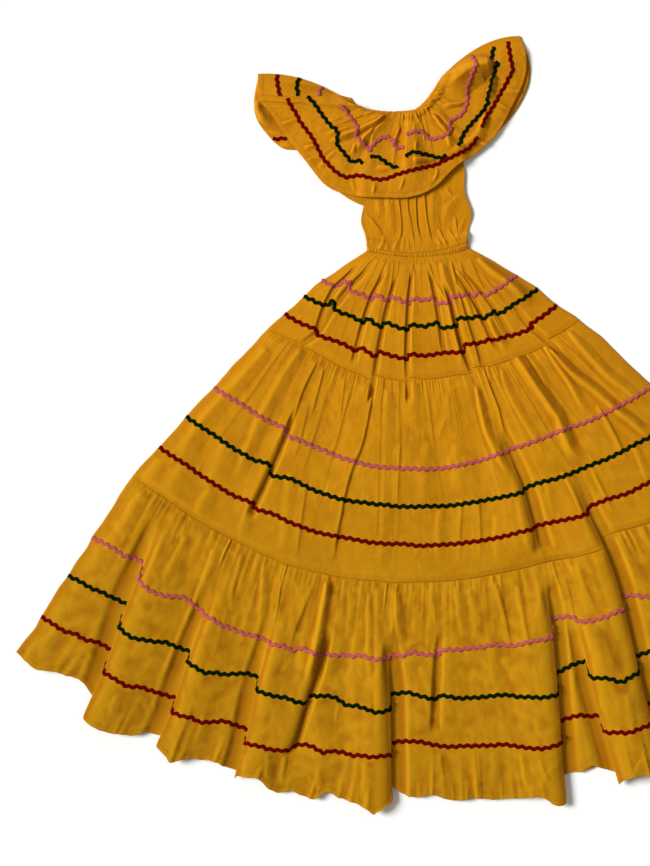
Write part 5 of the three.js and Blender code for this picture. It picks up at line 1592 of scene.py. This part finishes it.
def grown(name, lines, tree, sizes, material):
    """The mesh that a geometry tree makes along lines of points on the cloth."""
    points = np.concatenate([line[0] for line in lines])
    stand = np.concatenate([line[1] for line in lines])
    edges, first = [], 0
    for line in lines:
        edges += [(first + i, first + i + 1) for i in range(len(line[0]) - 1)]
        first += len(line[0])
    path = bpy.data.meshes.new(name + "_path")
    path.from_pydata(placed(points).tolist(), edges, [])
    path.attributes.new("stand", "FLOAT_VECTOR", "POINT").data.foreach_set("vector", stand.ravel())
    source = bpy.data.objects.new(name + "_path", path)
    bpy.context.scene.collection.objects.link(source)
    modifier = source.modifiers.new(name, "NODES")
    modifier.node_group = tree
    for item in tree.interface.items_tree:
        if item.in_out == "INPUT" and item.name in sizes:
            modifier[item.identifier] = sizes[item.name] * MM
        if item.in_out == "INPUT" and item.name == "Material":
            modifier[item.identifier] = material
    graph = bpy.context.evaluated_depsgraph_get()
    mesh = bpy.data.meshes.new_from_object(source.evaluated_get(graph), depsgraph=graph)
    bpy.data.objects.remove(source)
    mesh.name = name
    mesh.polygons.foreach_set("use_smooth", np.ones(len(mesh.polygons), bool))
    piece = bpy.data.objects.new(name, mesh)
    bpy.context.scene.collection.objects.link(piece)
    return piece


BRAID_SIZES = {"Width": 9.0, "Thickness": 1.0, "Swing": 1.5, "Wave": 14.8}
FLOUNCE_BRAID_SIZES = {"Width": 8.2, "Thickness": 1.0, "Swing": 1.2, "Wave": 13.0}
BRAID_STEP = 1.85
BRAID_STAND = 0.55
STITCH_SIZES = {"Pitch": 2.8, "Length": 2.2, "Thickness": 0.55}
STITCH_STAND = 0.15
STITCH_STEP = 2.0


def raised(line, distance):
    points, stand = line
    return points + stand * distance, stand


def tier_line(panel, down, step):
    row = float(np.interp(down, panel.downs, range(len(panel.downs))))
    return panel.line(lambda column: np.full(column.shape, row), step)


def hem_line(panel, from_edge, step):
    """A line a little way up from the panel's last row, along its surface."""
    def row_at(column):
        index = np.round(column).astype(int)
        steps = np.linalg.norm(np.diff(panel.outer, axis=0), axis=-1)[::-1]
        run = np.cumsum(steps, axis=0)
        rows = range(1, len(run) + 1)
        back = np.array([np.interp(from_edge, run[:, c], rows) for c in range(run.shape[1])])
        return panel.outer.shape[0] - 1 - back[np.minimum(index, len(back) - 1)]

    return panel.line(row_at, step)


def length_of(row):
    return float(np.linalg.norm(np.diff(row, axis=0), axis=1).sum()) * MM


def declare(piece, panel, cut_length, node, flare=1.0):
    """Puts a sheet of cloth under the root body and hides the part that it stands for. flare is the cut's
    narrower end as a share of its wider one; with the sheet's width and the size it was cut to, it gives an
    area that is not used."""
    width = max(length_of(panel.outer[-1]), length_of(panel.outer[0]))
    cut_length = cut_length * MM
    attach(piece, "root")
    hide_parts(node)
    area = width * cut_length * (1 + flare) / 2


cotton = cotton_material()
# Each braid's and the thread's own colour, then the paler colour painted as highlight where the weave stands
# up
braids = {
    "pink": braid_material("pink_braid", linear(190, 86, 84), linear(214, 112, 104)),
    "green": braid_material("green_braid", linear(6, 24, 2), linear(18, 42, 8)),
    "red": braid_material("red_braid", linear(104, 2, 2), linear(126, 8, 6)),
}
thread = braid_material("sewing_thread", linear(150, 96, 14), linear(196, 140, 40))
braid_nodes, stitch_nodes = braid_tree(), stitch_tree()


def add_braid(node, lines, colour, sizes_of_braid, stands_for=True):
    lines = [raised(line, BRAID_STAND) for line in lines]
    piece = grown(node + "_tape", lines, braid_nodes, sizes_of_braid, braids[colour])
    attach(piece, "root")
    if stands_for:
        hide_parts(node)
    return piece


def add_stitches(name, lines):
    piece = grown(name, [raised(line, STITCH_STAND) for line in lines], stitch_nodes, STITCH_SIZES, thread)
    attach(piece, "root")
    return piece


for tier in TIERS:
    top_row, foot_row, *_ = TIERS[tier]
    length = DOWN[foot_row] - DOWN[top_row] + (HEM_ALLOWANCE if foot_row == "hem" else 0)
    front, front_piece = tier_front(tier, cotton)
    back, back_piece = tier_back(tier, cotton)
    for colour in braids:
        line = tier_line(front, DOWN[colour + tier[-1]], BRAID_STEP)
        add_braid(f"{tier}_braid_{colour}", [line], colour, BRAID_SIZES)
    declare(front_piece, front, length, tier + "_front", FLARES[tier])
    declare(back_piece, back, length, tier + "_back", FLARES[tier])
    if foot_row == "hem":
        add_stitches("hem_stitches", [hem_line(front, HEM_DEPTH, STITCH_STEP)])

front, piece = flounce_front(cotton)
for colour in braids:
    lines = [front.trace(path, BRAID_STEP) for path in FLOUNCE_BRAIDS[colour]]
    add_braid("flounce_braid_" + colour, lines, colour, FLOUNCE_BRAID_SIZES)
add_stitches("flounce_hem_stitches", [hem_line(front, HEM_DEPTH, STITCH_STEP)])
declare(piece, front, FLOUNCE_FRONT_CUT, "flounce_front", FLOUNCE_FLARE)
back, piece = flounce_back(cotton)
lines = [back.trace(BACK_BRAID, BRAID_STEP)]
add_braid("flounce_back_braid_red", lines, "red", FLOUNCE_BRAID_SIZES, stands_for=False)
declare(piece, back, FLOUNCE_BACK_CUT, "flounce_back", FLOUNCE_FLARE)
front, piece = bodice_front(cotton)
declare(piece, front, BODICE_CUT, "bodice_front", BODICE_FLARE)
back, piece = bodice_back(cotton)
declare(piece, back, BODICE_CUT, "bodice_back", BODICE_FLARE)

CASINGS = (
    # place, edges, depth, ripples, ripple height, taper, rows of stitches
    ("neck", neck_upper, neck_lower, 11, 66, 0.6, 0.1, ()),
    ("waist", waist_upper, waist_lower, 20, 46, 1.6, 0.002, CASING_STITCH_SHARES),
)
for place, upper, lower, depth, ripples, height, taper, rows in CASINGS:
    name = place + "_casing_front_cloth"
    sizes = (CASING_FRONT_BOTTOM, CASING_FRONT_THICKNESS, ripples, height, taper)
    front, piece = casing(name, upper, lower, *sizes, 41, cotton)
    declare(piece, front, depth, place + "_casing_front")
    high = front.outer.shape[0] - 1
    lines = [front.line(lambda column, at=at: np.full(column.shape, at * high), STITCH_STEP) for at in rows]
    if lines:
        add_stitches(place + "_casing_stitches", lines)
    name = place + "_casing_back_cloth"
    sizes = (0.0, CASING_BACK_THICKNESS, ripples, CASING_BACK_RIPPLE, taper)
    back, piece = casing(name, upper, lower, *sizes, 43, cotton)
    declare(piece, back, depth, place + "_casing_back")

floor_mesh = bpy.data.meshes.new("floor")
corners = [(x * FLOOR_HALF, y * FLOOR_HALF, -FLOOR_DROP) for x, y in ((-1, -1), (1, -1), (1, 1), (-1, 1))]
floor_mesh.from_pydata(corners, [], [(0, 1, 2, 3)])
floor_mesh.materials.append(floor_material())
floor = bpy.data.objects.new("floor", floor_mesh)
bpy.context.scene.collection.objects.link(floor)
floor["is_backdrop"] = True

sun = bpy.data.lights.new("key_light", "SUN")
sun.energy, sun.angle = KEY_STRENGTH, KEY_SPREAD
key = bpy.data.objects.new("key_light", sun)
key.rotation_euler = Vector(KEY_FROM).to_track_quat("Z", "Y").to_euler()
bpy.context.scene.collection.objects.link(key)
world = bpy.data.worlds.new("soft_studio")
world.use_nodes = True
world.node_tree.nodes["Background"].inputs[0].default_value = FILL_COLOUR
world.node_tree.nodes["Background"].inputs[1].default_value = FILL_STRENGTH
bpy.context.scene.world = world
bpy.context.scene.view_settings.view_transform = "Standard"

view = bpy.data.cameras.new("camera")
view.lens, view.sensor_width = CAMERA_LENS, CAMERA_SENSOR
camera = bpy.data.objects.new("camera", view)
camera.location = CAMERA_AT
bpy.context.scene.collection.objects.link(camera)
bpy.context.scene.camera = camera

bpy.context.view_layer.update()
low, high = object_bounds()
